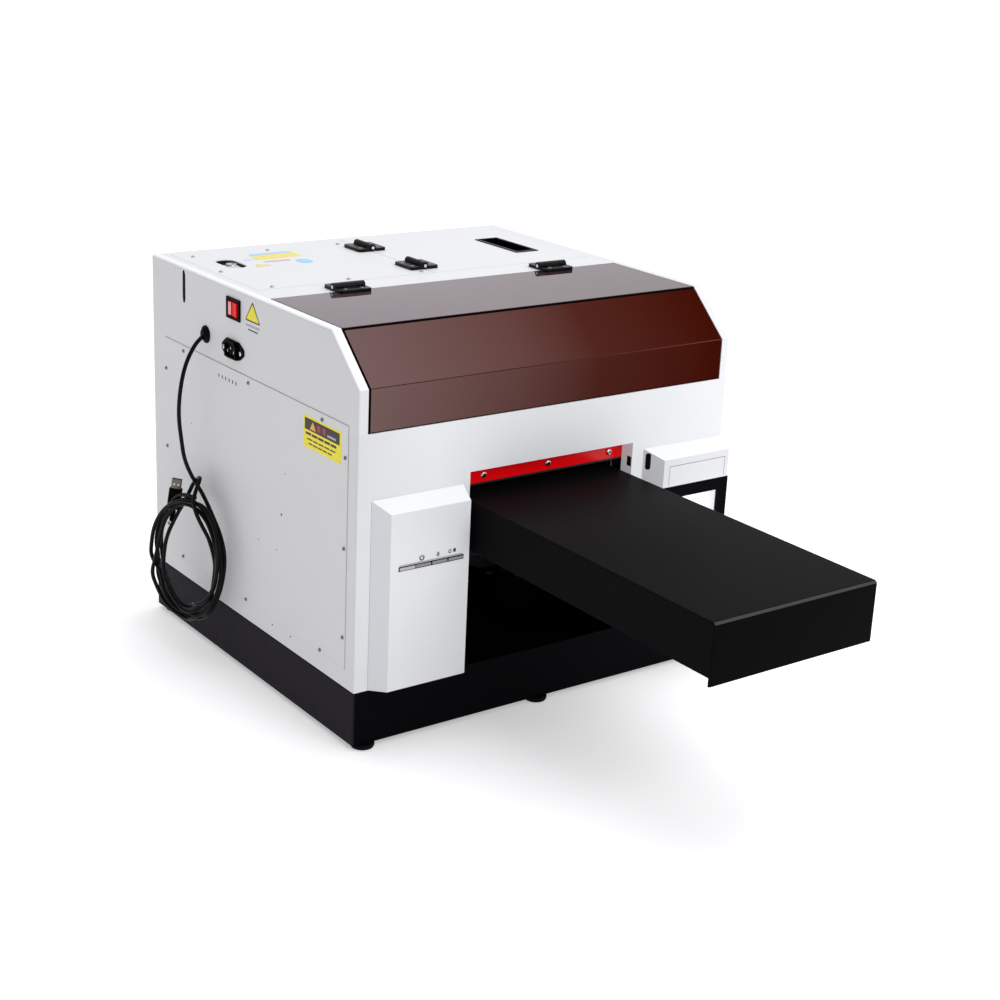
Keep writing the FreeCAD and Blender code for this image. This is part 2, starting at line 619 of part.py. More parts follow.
def bed_tray():
    """A folded sheet: flat top, deep front lip, side skirts and an open underside."""
    body = doc.addObject("PartDesign::Body", "bed_tray_body")
    outline = [("bed_front", "bed_lip"), ("bed_front", "bed_top"), ("bed_rear", "bed_top"),
               ("bed_rear", "bed_skirt"), ("bed_front + bed_skin", "bed_skirt"),
               ("bed_front + bed_skin", "bed_lip")]
    block = pad(body, sketch(body, "YZ_Plane", outline), "bed_width")
    top = size["bed_top"]
    front = size["bed_front"]

    def front_bend(edge):
        middle = edge.CenterOfMass
        return along(edge, "x") and abs(middle.z - top) < 1e-6 and abs(middle.y - front) < 1e-6

    def side_bend(edge):
        return along(edge, "y") and abs(edge.CenterOfMass.z - top) < 1e-6
    bend = fillet_edges(body, block, "bed_round", front_bend)
    fillet_edges(body, bend, "bed_skin", side_bend)
    body.recompute()
    hollow = [("bed_front + bed_skin", "bed_skirt - 1"), ("bed_front + bed_skin", "bed_top - 2 * bed_skin"),
              ("bed_front + 2 * bed_skin", "bed_top - bed_skin"),
              ("bed_rear - bed_skin", "bed_top - bed_skin"),
              ("bed_rear - bed_skin", "bed_skirt - 1")]
    inner = sketch(body, "YZ_Plane", hollow, "bed_skin")
    pocket(body, inner, "bed_width - 2 * bed_skin", True)
    place(body, BED_LEFT)
    holes = [rod("x", 1.5, (BED_LEFT + " - 1", y, 237), 4) for y in (-231, -245, -261)]
    part("bed_tray", cut(body, holes))


def bed_carriage():
    """Two blocks that run on the rails, a plate across them and two risers up to the bed."""
    y = ("table_front + 2", "table_front + 46")
    rail_top = "table_top + rail_height"
    plate = slab(("bed_x - 62", "bed_x + 62"), y, ("table_top + 30", "table_top + 34"))
    pieces = [plate]
    slots = []
    for sign in ("-", "+"):
        middle = f"bed_x {sign} rail_offset"
        pieces.append(slab((f"{middle} - 15", f"{middle} + 15"), y, ("table_top + 4", "table_top + 30")))
        riser = f"bed_x {sign} 57"
        pieces.append(slab((f"{riser} - 5", f"{riser} + 5"), y, ("table_top + 34", "bed_top - bed_skin")))
        slots.append(slab((f"{middle} - rail_width / 2 - 0.3", f"{middle} + rail_width / 2 + 0.3"),
                          ("table_front", "table_rear"), ("table_top", rail_top + " + 0.3")))
    part("bed_carriage", cut(join(pieces), slots))


def bed_rails():
    rails = []
    for sign in ("-", "+"):
        middle = f"bed_x {sign} rail_offset"
        rails.append(slab((f"{middle} - rail_width / 2", f"{middle} + rail_width / 2"),
                          ("table_front", "table_rear"), ("table_top", "table_top + rail_height")))
    part("bed_rails", group(rails))


LIFT_SPOTS = [(f"bed_x {sign} screw_offset", y) for sign in "-+" for y in ("rod_front", "screw_y",
                                                                           "rod_rear")]


def lift_table():
    """A plate that carries the rails, with a bored boss at each guide rod and lead screw."""
    z = ("table_top - table_skin", "table_top")
    plate = slab(("bed_x - table_half", "bed_x + table_half"), ("table_front", "table_rear"), z)
    through = ("table_top - 10", "table_top + 5")
    windows = [slab((f"bed_x + {left}", f"bed_x + {right}"), (20, 385), through)
               for left, right in ((-110, -60), (-20, 20), (60, 110))]
    bosses = [rod("z", 10, (x, y, "table_top - 20"), 34, "boss") for x, y in LIFT_SPOTS]
    bores = [rod("z", "rod_radius + running_gap", (x, y, "table_top - 30"), 60, "bore") for x,
             y in LIFT_SPOTS]
    part("lift_table", cut(join([cut(plate, windows)] + bosses), bores))


def lift_drive():
    rods = []
    for x, y in LIFT_SPOTS:
        if y != "screw_y":
            flange = rod("z", 12, (x, y, "floor_in"), 6, "rod_foot")
            rods.append(join([flange, rod("z", "rod_radius", (x, y, "floor_in + 1"),
                                          "rod_top - floor_in - 1")]))
    part("guide_rods", group(rods))
    screws = (("left_lead_screw", "-", "floor_in + 0.2"), ("right_lead_screw", "+", "floor_in + 40.2"))
    for label, sign, start in screws:
        x = f"bed_x {sign} screw_offset"
        shaft = rod("z", "rod_radius", (x, "screw_y", start), f"rod_top - ({start})", "lead_screw")
        wheel = rod("z", 12, (x, "screw_y", "floor_in + 44"), 8, "screw_pulley")
        part(label, join([shaft, wheel]))
    motor_x = "bed_x + screw_offset"
    motor = slab((motor_x + " - 21", motor_x + " + 21"), ("screw_y - 21", "screw_y + 21"),
                 ("floor_in", "floor_in + 40"), "motor_block")
    part("lift_motor", rounded(motor, "edge_round", lambda edge: along(edge, "z")))
    part("lift_belt", belt_loop("z", "bed_x", "screw_y", "screw_offset", "floor_in + 44.5", 7, 12.4, 13.8))


def belt_loop(axis, middle, across, half_span, start, width, inner, outer):
    """A closed belt round two equal pulleys that stand half_span either side of the middle, along X."""
    def stadium(radius, low, length):
        ends = []
        for sign in "-+":
            x = f"{middle} {sign} {half_span}"
            spot = (x, across, low) if axis == "z" else (x, low, across)
            ends.append(rod(axis, radius, spot, length))
        x = (f"{middle} - {half_span}", f"{middle} + {half_span}")
        side = (f"{across} - {radius}", f"{across} + {radius}")
        run = (low, f"{low} + {length}")
        ends.append(slab(x, side, run) if axis == "z" else slab(x, run, side))
        return join(ends)
    return cut(stadium(outer, start, width), [stadium(inner, f"{start} - 5", f"{width} + 10")])


# ---- print mechanism -----------------------------------------------------------------------------------

def mechanism_frame():
    """Two side plates that stand on the tray, a front bar and a rear beam between them."""
    x = ("-plate_x", "plate_x")
    pieces = [slab(("-plate_x - 2", "-plate_x"), (-22, 130), ("floor_in", 356)),
              slab(("plate_x", "plate_x + 2"), (-22, 130), ("floor_in", 356)),
              slab(("-plate_x - 2", "plate_x + 2"), ("bar_front", "bar_rear"), (276, 298)),
              slab(x, ("beam_front", "beam_rear"), (296, 356))]
    holes = [rod("y", 3.4, (f"{sign}belt_x", "beam_front - 5", "belt_z"), 15) for sign in ("-", "")]
    part("mechanism_frame", cut(join(pieces), holes))
    part("guide_shaft", rod("x", "rod_radius", ("-plate_x", "shaft_y", "shaft_z"), "2 * plate_x",
                            "guide_shaft"))


def print_carriage():
    block = slab(("carriage_left", "carriage_right"), ("carriage_front", "carriage_rear"),
                 ("carriage_low", "carriage_high"), "carriage_block")
    hollow = slab(("carriage_left + 3", "carriage_right - 3"), ("carriage_front + 3", "shaft_y - 12"),
                  ("carriage_low + 6", "carriage_high + 5"))
    bore = rod("x", "rod_radius + running_gap", ("carriage_left - 5", "shaft_y", "shaft_z"),
               "carriage_right - carriage_left + 10")
    part("print_carriage", cut(block, [hollow, bore]))
    dampers = [slab((138 + 14 * number, 149 + 14 * number), (-10, 30),
                    ("carriage_low + 6", "carriage_high + 14"))
               for number in range(6)]
    part("ink_dampers", group(dampers))
    part("print_head", slab((155, 205), (-10, 30), (272, "carriage_low"), "head_block"))
    lamp = slab((104, "carriage_left - 0.2"), (-8, 38), (276, 335), "lamp_block")
    fins = [slab((107 + 4.4 * number, 109 + 4.4 * number), (-10, 40), (300, 340)) for number in range(5)]
    part("uv_lamp", cut(lamp, fins))


def carriage_drive():
    low = "belt_front + 0.2"
    part("carriage_belt", belt_loop("y", 0, "belt_z", "belt_x", low, "belt_rear - belt_front - 0.4", 8.4,
                                    9.6))
    for label, sign in (("drive_pulley", "-"), ("idler_pulley", "")):
        spot = (f"{sign}belt_x", "belt_front", "belt_z")
        wheel = rod("y", "pulley_radius", spot, "belt_rear - belt_front", "pulley")
        axle = rod("y", 3, spot, "beam_rear - belt_front - 0.2", "axle")
        part(label, join([wheel, axle]))
    motor = rod("y", 15, ("-belt_x", "beam_rear", "belt_z"), 38, "motor_can")
    part("carriage_motor", motor)


def capping_station():
    box = slab((160, 212), (-14, 34), (196, 270))
    basin = slab((165, 207), (-9, 29), (262, 280))
    arm = slab((210, "plate_x"), (-14, 34), (200, 206))
    part("capping_station", cut(join([box, arm]), [basin]))


# ---- electrics and ink inside the casing ---------------------------------------------------------------

def electrics():
    part("power_supply", slab((-232, -182), (200, 400), ("floor_in", 110), "supply_block"))
    inner = LEFT + " + skin"
    board = slab((inner + " + 5", inner + " + 6.6"), (180, 390), (130, 320))
    posts = [rod("x", 3, (inner, y, z), "6") for y in (190, 380) for z in (140, 310)]
    chips = [slab((inner + " + 6", inner + " + 9"), (y, y + 30), (z, z + 24)) for y, z in
             ((205, 150), (260, 150), (315, 160), (205, 220), (270, 230), (330, 250))]
    part("main_board", join([board] + posts + chips))


def ink_system():
    part("ink_shelf", slab((20, HALF + " - skin - 0.2"), (232, "rear_y - skin - 0.2"), (326, 330),
                           "shelf_sheet"))
    tanks = []
    for number in range(6):
        left = 28 + 34 * number
        tank = slab((left, left + 30), (250, 330), (330, 420))
        cap = rod("z", 9, (left + 15, 275, 419), 11)
        tanks.append(join([tank, cap]))
    part("ink_tanks", group(tanks))
    bottle = slab((170, 230), (240, 360), ("floor_in", 130), "bottle")
    neck = rod("z", 14, (200, 300, 129), 16)
    part("waste_ink_tank", join([bottle, neck]))


# ---- data lead -----------------------------------------------------------------------------------------

# From inside the gland, out and down to the top right of the hanging coil.
LEAD_ROUTE = [(-258, 293, 393.2), (-268.5, 290.5, 387), (-277.5, 288.5, 376.5), (-285.5, 287.5, 362),
              (-291, 287, 344), (-294.3, 288, 320), (-294.6, 289, 296), (-292, 288, 271), (-289, 288, 248),
              (-282.5, 283.5, 227.5), (-274.5, 271, 208), (-272.8, 258, 194.5), (-272.5, 243, 181)]
COIL_CENTRE = (-288.5, 280, 123)
COIL_TURN = 108.3
PLUG_SPOT = (-289, 313.9, 191.2)
PLUG_TURN = 55
PLUG_LEAN = 8


def arc_path(points, share=0.45):
    """Straight runs joined by tangent arcs, each as large as its two runs allow."""
    corners = [FreeCAD.Vector(*point) for point in points]
    edges = []
    start = corners[0]
    for before, corner, after in zip(corners, corners[1:], corners[2:]):
        run_in = before - corner
        run_out = after - corner
        half_turn = (math.pi - run_in.getAngle(run_out)) / 2
        reach = share * min(run_in.Length, run_out.Length)
        radius = reach / math.tan(half_turn)
        print(f"lead bend radius {radius:.1f} mm, turn {math.degrees(2 * half_turn):.1f} degrees")
        first = corner + run_in.normalize() * reach
        last = corner + run_out.normalize() * reach
        inward = (run_in + run_out).normalize()
        middle = corner + inward * (radius / math.cos(half_turn) - radius)
        edges.append(Part.LineSegment(start, first).toShape())
        edges.append(Part.Arc(first, middle, last).toShape())
        start = last
    edges.append(Part.LineSegment(start, corners[-1]).toShape())
    return Part.Wire(edges)


def data_lead():
    path = arc_path(LEAD_ROUTE)
    start = FreeCAD.Vector(*LEAD_ROUTE[0])
    heading = FreeCAD.Vector(*LEAD_ROUTE[1]) - start
    radius = size["cord_diameter"] / 2
    section = Part.Wire([Part.makeCircle(radius, start, heading)])
    tube = path.makePipeShell([section], True, False, 2)
    area = math.pi * radius ** 2
    print(f"lead tube volume {tube.Volume:.1f}, section times length {area * path.Length:.1f}")
    lead = doc.addObject("Part::Feature", "usb_cord")
    lead.Shape = tube
    lead.Placement = FreeCAD.Placement()
    part("usb_cord", lead)

    half_width = size["coil_half_width"]
    half_height = size["coil_half_height"]
    band = size["coil_band"]
    depth = size["coil_depth"]
    outer = upright_disc(half_width, half_height, depth)
    ring = outer.cut(upright_disc(half_width - band, half_height - band, depth))
    coil = doc.addObject("Part::Feature", "usb_coil")
    coil.Shape = ring
    coil.Placement = FreeCAD.Placement(FreeCAD.Vector(*COIL_CENTRE),
                                       FreeCAD.Rotation(FreeCAD.Vector(0, 0, 1), COIL_TURN))
    part("usb_coil", coil)


def upright_disc(half_width, half_height, depth):
    """An elliptical disc that stands astride the XZ plane, taller than it is wide."""
    front = FreeCAD.Vector(0, -depth / 2, 0)
    tip = front + FreeCAD.Vector(0, 0, half_height)
    side = front + FreeCAD.Vector(half_width, 0, 0)
    curve = Part.Ellipse(tip, side, front)
    return Part.Face(Part.Wire([curve.toShape()])).extrude(FreeCAD.Vector(0, depth, 0))


def usb_plug():
    """The moulded grip, its strain relief and the metal shell of the plug, standing up behind the coil."""
    grip = slab((-4, 4), (-7.75, 7.75), (-14, 12), "plug_grip")
    relief = cone("z", 2.6, 3.6, (0, 0, -30), 17, "plug_relief")
    shell = slab((-2.25, 2.25), (-6, 6), (11, 24), "plug_shell")
    mouth = slab((-1.7, 1.7), (-5.4, 5.4), (14, 30), "plug_mouth")
    plug = cut(join([grip, relief, shell]), [mouth], "usb_plug")
    plug.Placement = FreeCAD.Placement(FreeCAD.Vector(), FreeCAD.Rotation(PLUG_TURN, 0, PLUG_LEAN))
    part("usb_plug", place(plug, *PLUG_SPOT))


base_tray()
rubber_feet()
left_side_panel()
right_side_panel()
access_cover("left_access_cover", False)
access_cover("right_access_cover", True)
panel_screws()
front_panel()
red_strip()
rear_panel()
control_pod()
ink_pod()
ink_bay_frame()
buttons()
top_frame()
roof_plates()
lid_pull_bezel()
hood()
hinges()
rocker_switch()
mains_inlet()
cable_gland()
bed_tray()
bed_carriage()
bed_rails()
lift_table()
lift_drive()
mechanism_frame()
print_carriage()
carriage_drive()
capping_station()
electrics()
ink_system()
data_lead()
usb_plug()

doc.recompute()
for item in doc.Objects:
    if "Invalid" in item.State or "Error" in item.State:
        raise RuntimeError(f"{item.Name} ({item.Label}) failed: {item.State}")
os.makedirs("parts", exist_ok=True)
for label, item in nodes.items():
    if item.Shape.isNull() or not item.Shape.isValid():
        raise RuntimeError(f"{label} has no valid shape")
    item.Shape.exportStep(f"parts/{label}.step")
print(len(nodes), "sub-parts written")
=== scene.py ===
import json
import math

import bmesh
import bpy
import numpy as np
from mathutils import Matrix, Vector

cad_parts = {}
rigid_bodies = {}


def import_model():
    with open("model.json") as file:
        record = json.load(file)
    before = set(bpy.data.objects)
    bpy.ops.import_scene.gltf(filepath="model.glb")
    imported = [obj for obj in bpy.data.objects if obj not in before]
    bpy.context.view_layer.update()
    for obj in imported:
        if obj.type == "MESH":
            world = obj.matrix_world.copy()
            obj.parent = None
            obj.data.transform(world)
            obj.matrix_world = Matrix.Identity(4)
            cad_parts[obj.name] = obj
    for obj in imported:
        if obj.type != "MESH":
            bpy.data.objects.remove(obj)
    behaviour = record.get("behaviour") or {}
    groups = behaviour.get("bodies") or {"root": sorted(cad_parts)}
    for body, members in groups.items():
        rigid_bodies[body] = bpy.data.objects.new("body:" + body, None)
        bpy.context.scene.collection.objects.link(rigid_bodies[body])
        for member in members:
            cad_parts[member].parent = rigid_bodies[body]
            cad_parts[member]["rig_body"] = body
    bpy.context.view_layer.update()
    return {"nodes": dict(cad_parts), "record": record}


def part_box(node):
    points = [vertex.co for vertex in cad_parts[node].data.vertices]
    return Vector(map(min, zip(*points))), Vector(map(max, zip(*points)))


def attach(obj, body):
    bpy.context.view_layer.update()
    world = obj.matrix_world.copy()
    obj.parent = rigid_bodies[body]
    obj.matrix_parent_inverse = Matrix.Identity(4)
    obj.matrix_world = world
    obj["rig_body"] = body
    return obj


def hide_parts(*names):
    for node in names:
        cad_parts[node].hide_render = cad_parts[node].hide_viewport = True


# Desktop flatbed UV printer. Metres, +Z up, +X to the right seen from the front, +Y to the rear.
# The shapes built on a face (plates, prisms and turned shapes) and the data lead's points are in millimetres.

MM = 0.001
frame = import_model()
NODES = frame["nodes"]
SLOT = {row["node"]: row["material_slot"] for row in frame["record"]["subparts"]}
scene = bpy.context.scene


def cad_edge(node, corner, axis):
    """A coordinate of a CAD node's box, in millimetres: corner 0 is its lowest and corner 1 its highest."""
    return round(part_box(node)[corner][axis] / MM, 1)


SIDE = cad_edge("left_side_panel", 0, 0)
COVER = cad_edge("left_access_cover", 0, 0)
ROOF = cad_edge("top_plate", 1, 2)
FRONT = cad_edge("front_panel", 0, 1)
POD_FRONT = cad_edge("ink_pod", 0, 1)
BAY_WALL = 116.9


# ---- camera, floor and light ----

CAMERA_SPOT = (-1.19470, -1.54825, 0.90335)
CAMERA_AZIMUTH = 36.780
CAMERA_ELEVATION = 18.891
CAMERA_ROLL = 2.681
CAMERA_LENS = 64.715
WORLD_LEFT = 0.3
WORLD_RIGHT = 0.85
FLOOR_REACH = 60


def make_camera():
    """The viewpoint: in front, to the left and above, with a slight roll."""
    angles = (CAMERA_AZIMUTH, CAMERA_ELEVATION, CAMERA_ROLL)
    azimuth, elevation, roll = (math.radians(angle) for angle in angles)
    data = bpy.data.cameras.new("camera")
    data.lens = CAMERA_LENS
    data.sensor_width = 36
    camera = bpy.data.objects.new("camera", data)
    scene.collection.objects.link(camera)
    forward = Vector((math.sin(azimuth) * math.cos(elevation), math.cos(azimuth) * math.cos(elevation),
                      -math.sin(elevation)))
    right = forward.cross(Vector((0, 0, 1))).normalized()
    up = right.cross(forward)
    right_rolled = math.cos(roll) * right + math.sin(roll) * up
    up_rolled = -math.sin(roll) * right + math.cos(roll) * up
    turn = Matrix((right_rolled, up_rolled, -forward)).transposed()
    camera.matrix_world = Matrix.Translation(CAMERA_SPOT) @ turn.to_4x4()
    scene.camera = camera


def area_light(name, spot, aim, size, power):
    data = bpy.data.lights.new(name, "AREA")
    data.shape = "RECTANGLE"
    data.size, data.size_y = size
    data.energy = power
    lamp = bpy.data.objects.new(name, data)
    scene.collection.objects.link(lamp)
    lamp.location = spot
    lamp.rotation_mode = "QUATERNION"
    lamp.rotation_quaternion = (Vector(aim) - Vector(spot)).to_track_quat("-Z", "Y")


def make_studio():
    """A pale sweep, light from all round that is weaker from the left, and two large soft lamps."""
    world = bpy.data.worlds.new("studio")
    scene.world = world
    world.use_nodes = True
    tree = world.node_tree
    backdrop = tree.nodes["Background"]
    backdrop.inputs["Color"].default_value = (0.98, 0.985, 1.0, 1)
    where = tree.nodes.new("ShaderNodeTexCoord")
    split = tree.nodes.new("ShaderNodeSeparateXYZ")
    level = tree.nodes.new("ShaderNodeMapRange")
    limits = (("From Min", -0.9), ("From Max", 0.1), ("To Min", WORLD_LEFT), ("To Max", WORLD_RIGHT))
    for label, value in limits:
        level.inputs[label].default_value = value
    tree.links.new(where.outputs["Generated"], split.inputs[0])
    tree.links.new(split.outputs["X"], level.inputs["Value"])
    tree.links.new(level.outputs["Result"], backdrop.inputs["Strength"])
    scene.view_settings.view_transform = "Standard"
    scene.view_settings.look = "None"
    area_light("key", (0.5, -2.5, 1.9), (0, 0, 0.25), (2.0, 1.4), 26)
    area_light("top", (0.5, 0.3, 2.6), (0, 0.1, 0.4), (2.4, 2.4), 26)
    corners = [(a * FLOOR_REACH, b * FLOOR_REACH, 0) for a, b in ((-1, -1), (1, -1), (1, 1), (-1, 1))]
    floor = mesh_piece("studio_floor", corners, [(0, 1, 2, 3)])
    floor.data.materials.append(floor_paint())


# ---- material helpers ----

class Shader:
    """A material's node tree, with the principled shader and object coordinates ready to use."""

    def __init__(self, name, **inputs):
        self.material = bpy.data.materials.new(name)
        self.material.use_nodes = True
        self.tree = self.material.node_tree
        self.surface = self.tree.nodes["Principled BSDF"]
        self.where = self.add("ShaderNodeTexCoord").outputs["Object"]
        for label, value in inputs.items():
            socket = self.surface.inputs[label.replace("_", " ")]
            socket.default_value = (*value, 1) if isinstance(value, tuple) else value

    def add(self, kind, **settings):
        node = self.tree.nodes.new(kind)
        for label, value in settings.items():
            if label in node.inputs:
                node.inputs[label].default_value = value
            else:
                setattr(node, label, value)
        return node

    def join(self, output, target):
        self.tree.links.new(output, target)

    def stretched(self, scale):
        """Object coordinates with a scale for each axis."""
        node = self.add("ShaderNodeMapping")
        node.inputs["Scale"].default_value = scale
        self.join(self.where, node.inputs["Vector"])
        return node.outputs["Vector"]

    def noise(self, scale, detail=3.0, rough=0.5, vector=None):
        node = self.add("ShaderNodeTexNoise", Scale=scale, Detail=detail, Roughness=rough)
        self.join(vector or self.where, node.inputs["Vector"])
        return node.outputs["Fac"]

    def ramp(self, value, low, high, start=0.3, end=0.7):
        """Maps a texture to a range of values."""
        node = self.add("ShaderNodeMapRange")
        for label, number in (("From Min", start), ("From Max", end), ("To Min", low), ("To Max", high)):
            node.inputs[label].default_value = number
        self.join(value, node.inputs["Value"])
        return node.outputs["Result"]

    def blend(self, share, first, second):
        """A colour between two colours, or between outputs."""
        node = self.add("ShaderNodeMix", data_type="RGBA")
        self.join(share, node.inputs[0])
        for socket, value in ((node.inputs[6], first), (node.inputs[7], second)):
            if isinstance(value, tuple):
                socket.default_value = (*value, 1)
            else:
                self.join(value, socket)
        return node.outputs[2]

    def near(self, value, centre, reach):
        """One where a value lies within a reach of a centre, and nought elsewhere."""
        node = self.add("ShaderNodeMath", operation="COMPARE")
        node.inputs[1].default_value = centre
        node.inputs[2].default_value = reach
        self.join(value, node.inputs[0])
        return node.outputs[0]

    def parts(self, vector):
        node = self.add("ShaderNodeSeparateXYZ")
        self.join(vector, node.inputs[0])
        return node.outputs["X"], node.outputs["Y"], node.outputs["Z"]

    def colour(self, output):
        self.join(output, self.surface.inputs["Base Color"])

    def roughness(self, output):
        self.join(output, self.surface.inputs["Roughness"])

    def orange_peel(self, rough, grain):
        self.roughness(self.ramp(self.noise(90, 4), rough - 0.05, rough + 0.06))
        self.bump(self.noise(1500, 2), grain, 0.0004)

    def bump(self, height, strength, distance):
        node = self.add("ShaderNodeBump", Strength=strength, Distance=distance)
        self.join(height, node.inputs["Height"])
        previous = self.surface.inputs["Normal"].links
        if previous:
            self.join(previous[0].from_socket, node.inputs["Normal"])
        self.join(node.outputs["Normal"], self.surface.inputs["Normal"])


def tint(colour, factor):
    return tuple(channel * factor for channel in colour)


def floor_paint():
    """Pale paint with a little light of its own, so that the sweep stays white."""
    shader = Shader("studio_floor", Base_Color=(0.9, 0.9, 0.91), Roughness=0.7, Specular_IOR_Level=0.2,
                    Emission_Color=(1.0, 1.0, 1.0), Emission_Strength=0.38)
    shader.colour(shader.blend(shader.ramp(shader.noise(1.3), 0, 1), (0.9, 0.9, 0.91), (0.88, 0.88, 0.89)))
    return shader.material


def powder_coat(name, colour, rough, grain):
    """Fine orange-peel paint on sheet metal."""
    shader = Shader(name, Roughness=rough, Specular_IOR_Level=0.3)
    drift = shader.ramp(shader.noise(6, 2), 0, 1)
    shader.colour(shader.blend(drift, colour, tint(colour, 0.965)))
    shader.orange_peel(rough, grain)
    shader.bump(shader.noise(260, 2), grain * 0.7, 0.0006)
    return shader.material


def coat_shaded_by_facing(name, front, left, top, rough=0.42, grain=0.05, shine=0.3):
    """Paint with painted light and shade: a tone of its own on the faces that look forwards, to the left and
    up.
    """
    shader = Shader(name, Roughness=rough, Specular_IOR_Level=shine)
    x, _, z = shader.parts(shader.add("ShaderNodeNewGeometry").outputs["Normal"])
    drift = shader.blend(shader.ramp(shader.noise(6, 2), 0, 1), front, tint(front, 0.96))
    tone = shader.blend(shader.ramp(x, 1, 0, -0.9, -0.3), drift, left)
    shader.colour(shader.blend(shader.ramp(z, 0, 1, 0.3, 0.6), tone, top))
    shader.orange_peel(rough, grain)
    return shader.material


def moulded(name, colour, rough=0.45, grain=0.12, scale=2200, shine=0.5):
    """Moulded plastic with a fine spark-eroded texture."""
    shader = Shader(name, Roughness=rough, Specular_IOR_Level=shine)
    cells = shader.add("ShaderNodeTexVoronoi", Scale=scale)
    shader.join(shader.where, cells.inputs["Vector"])
    shader.colour(shader.blend(shader.ramp(shader.noise(40, 3), 0, 1), colour, tint(colour, 0.8)))
    shader.roughness(shader.ramp(shader.noise(180, 3), rough - 0.06, rough + 0.08))
    shader.bump(cells.outputs["Distance"], grain, 0.0002)
    return shader.material


def machined(name, colour, rough=0.28, axis=0):
    """Bare metal with fine lines along one axis."""
    shader = Shader(name, Metallic=1.0, Roughness=rough)
    scale = [1400, 1400, 1400]
    scale[axis] = 25
    lines = shader.noise(1.0, 4, 0.6, shader.stretched(scale))
    shader.colour(shader.blend(shader.ramp(lines, 0, 1), colour, tint(colour, 0.8)))
    shader.roughness(shader.ramp(lines, rough - 0.08, rough + 0.12))
    shader.bump(lines, 0.15, 0.0001)
    return shader.material


def printed(name, colour):
    """Printed ink or film."""
    shader = Shader(name, Roughness=0.35, Specular_IOR_Level=0.3)
    shader.colour(shader.blend(shader.ramp(shader.noise(160, 3), 0, 1), colour, tint(colour, 0.9)))
    shader.bump(shader.noise(700, 2), 0.03, 0.0002)
    return shader.material


# ---- mesh helpers ----

def mesh_piece(name, vertices, faces):
    data = bpy.data.meshes.new(name)
    data.from_pydata([tuple(v) for v in vertices], [], faces)
    data.validate()
    piece = bpy.data.objects.new(name, data)
    scene.collection.objects.link(piece)
    return piece


def finish_piece(piece, finish, body="chassis", slot=None, edge=0.0, segments=2):
    """Gives a new piece its finish (a name or a material), its body and rounded edges. Its slot is not used.
    """
    piece.data.materials.append(FINISH[finish] if isinstance(finish, str) else finish)
    for polygon in piece.data.polygons:
        polygon.use_smooth = True
    piece.data.set_sharp_from_angle(angle=math.radians(35))
    if edge:
        bevel = piece.modifiers.new("edges", "BEVEL")
        bevel.width = edge * MM
        bevel.segments = segments
        bevel.limit_method = "ANGLE"
        bevel.angle_limit = math.radians(35)
        bevel.harden_normals = True
    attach(piece, body)
    return piece


def welded(name):
    """A CAD node's mesh as one welded skin with whole flat faces."""
    grid = bmesh.new()
    grid.from_mesh(NODES[name].data)
    bmesh.ops.remove_doubles(grid, verts=grid.verts, dist=1e-6)
    bmesh.ops.dissolve_limit(grid, angle_limit=math.radians(0.5), verts=grid.verts, edges=grid.edges)
    return grid


def softened(name, edge):
    """Stands for a CAD node: the same shape with rounded edges."""
    grid = welded(name)
    vertices = [v.co.copy() for v in grid.verts]
    grid.verts.index_update()
    faces = [[v.index for v in face.verts] for face in grid.faces]
    grid.free()
    piece = mesh_piece(name + "_shown", vertices, faces)
    slot = SLOT[name]
    finish_piece(piece, SPECIAL.get(name, slot), NODES[name]["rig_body"], slot, edge)
    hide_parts(name)


def islands(name):
    """The lowest and highest corner of each separate solid in a CAD node."""
    grid = welded(name)
    left = set(grid.verts)
    boxes = []
    while left:
        reached = [left.pop()]
        for vertex in reached:
            for edge in vertex.link_edges:
                other = edge.other_vert(vertex)
                if other in left:
                    left.remove(other)
                    reached.append(other)
        places = np.array([tuple(v.co) for v in reached])
        boxes.append((Vector(places.min(0)), Vector(places.max(0))))
    grid.free()
    return sorted(boxes, key=lambda box: tuple(box[0]))


class Face:
    """A flat place to build on: an origin, two directions across it and the way out."""

    def __init__(self, origin, across, up):
        self.origin, self.across, self.up = Vector(origin), Vector(across), Vector(up)
        self.out = self.across.cross(self.up)

    def point(self, a, b, c=0.0):
        return self.origin + a * self.across + b * self.up + c * self.out


def front_face(y):
    return Face((0, y, 0), (1, 0, 0), (0, 0, 1))


def left_face(x):
    """Seen from the left: across runs towards the front."""
    return Face((x, 0, 0), (0, -1, 0), (0, 0, 1))


def roof_face(z):
    return Face((0, 0, z), (1, 0, 0), (0, 1, 0))


def ellipse(centre, radius_a, radius_b=None, count=28, start=0.0, end=360.0):
    radius_b = radius_b or radius_a
    whole = end - start >= 360
    steps = count if whole else count + 1
    angles = [math.radians(start + (end - start) * i / count) for i in range(steps)]
    return [(centre[0] + radius_a * math.cos(t), centre[1] + radius_b * math.sin(t)) for t in angles]


def softened_outline(corners, radius):
    """An outline with a round at each corner, for a convex outline that runs anticlockwise."""
    steps = 4
    points = []
    count = len(corners)
    for i in range(count):
        before, corner, after = (Vector(corners[(i + k) % count]) for k in (-1, 0, 1))
        run_in, run_out = (before - corner).normalized(), (after - corner).normalized()
        half = run_in.angle(run_out) / 2
        middle = corner + (run_in + run_out).normalized() * radius / math.sin(half)
        first = corner + run_in * radius / math.tan(half) - middle
        last = corner + run_out * radius / math.tan(half) - middle
        for k in range(steps + 1):
            share = k / steps
            spoke = first.lerp(last, share).normalized() * radius
            points.append(tuple(middle + spoke))
    return points


def round_ended(across, low, high, radius_a, radius_b=None):
    """An upright slot, from the middle of its lower end to the middle of its upper end."""
    upper = ellipse((across, high), radius_a, radius_b, 8, 0, 180)
    return upper + ellipse((across, low), radius_a, radius_b, 8, 180, 360)


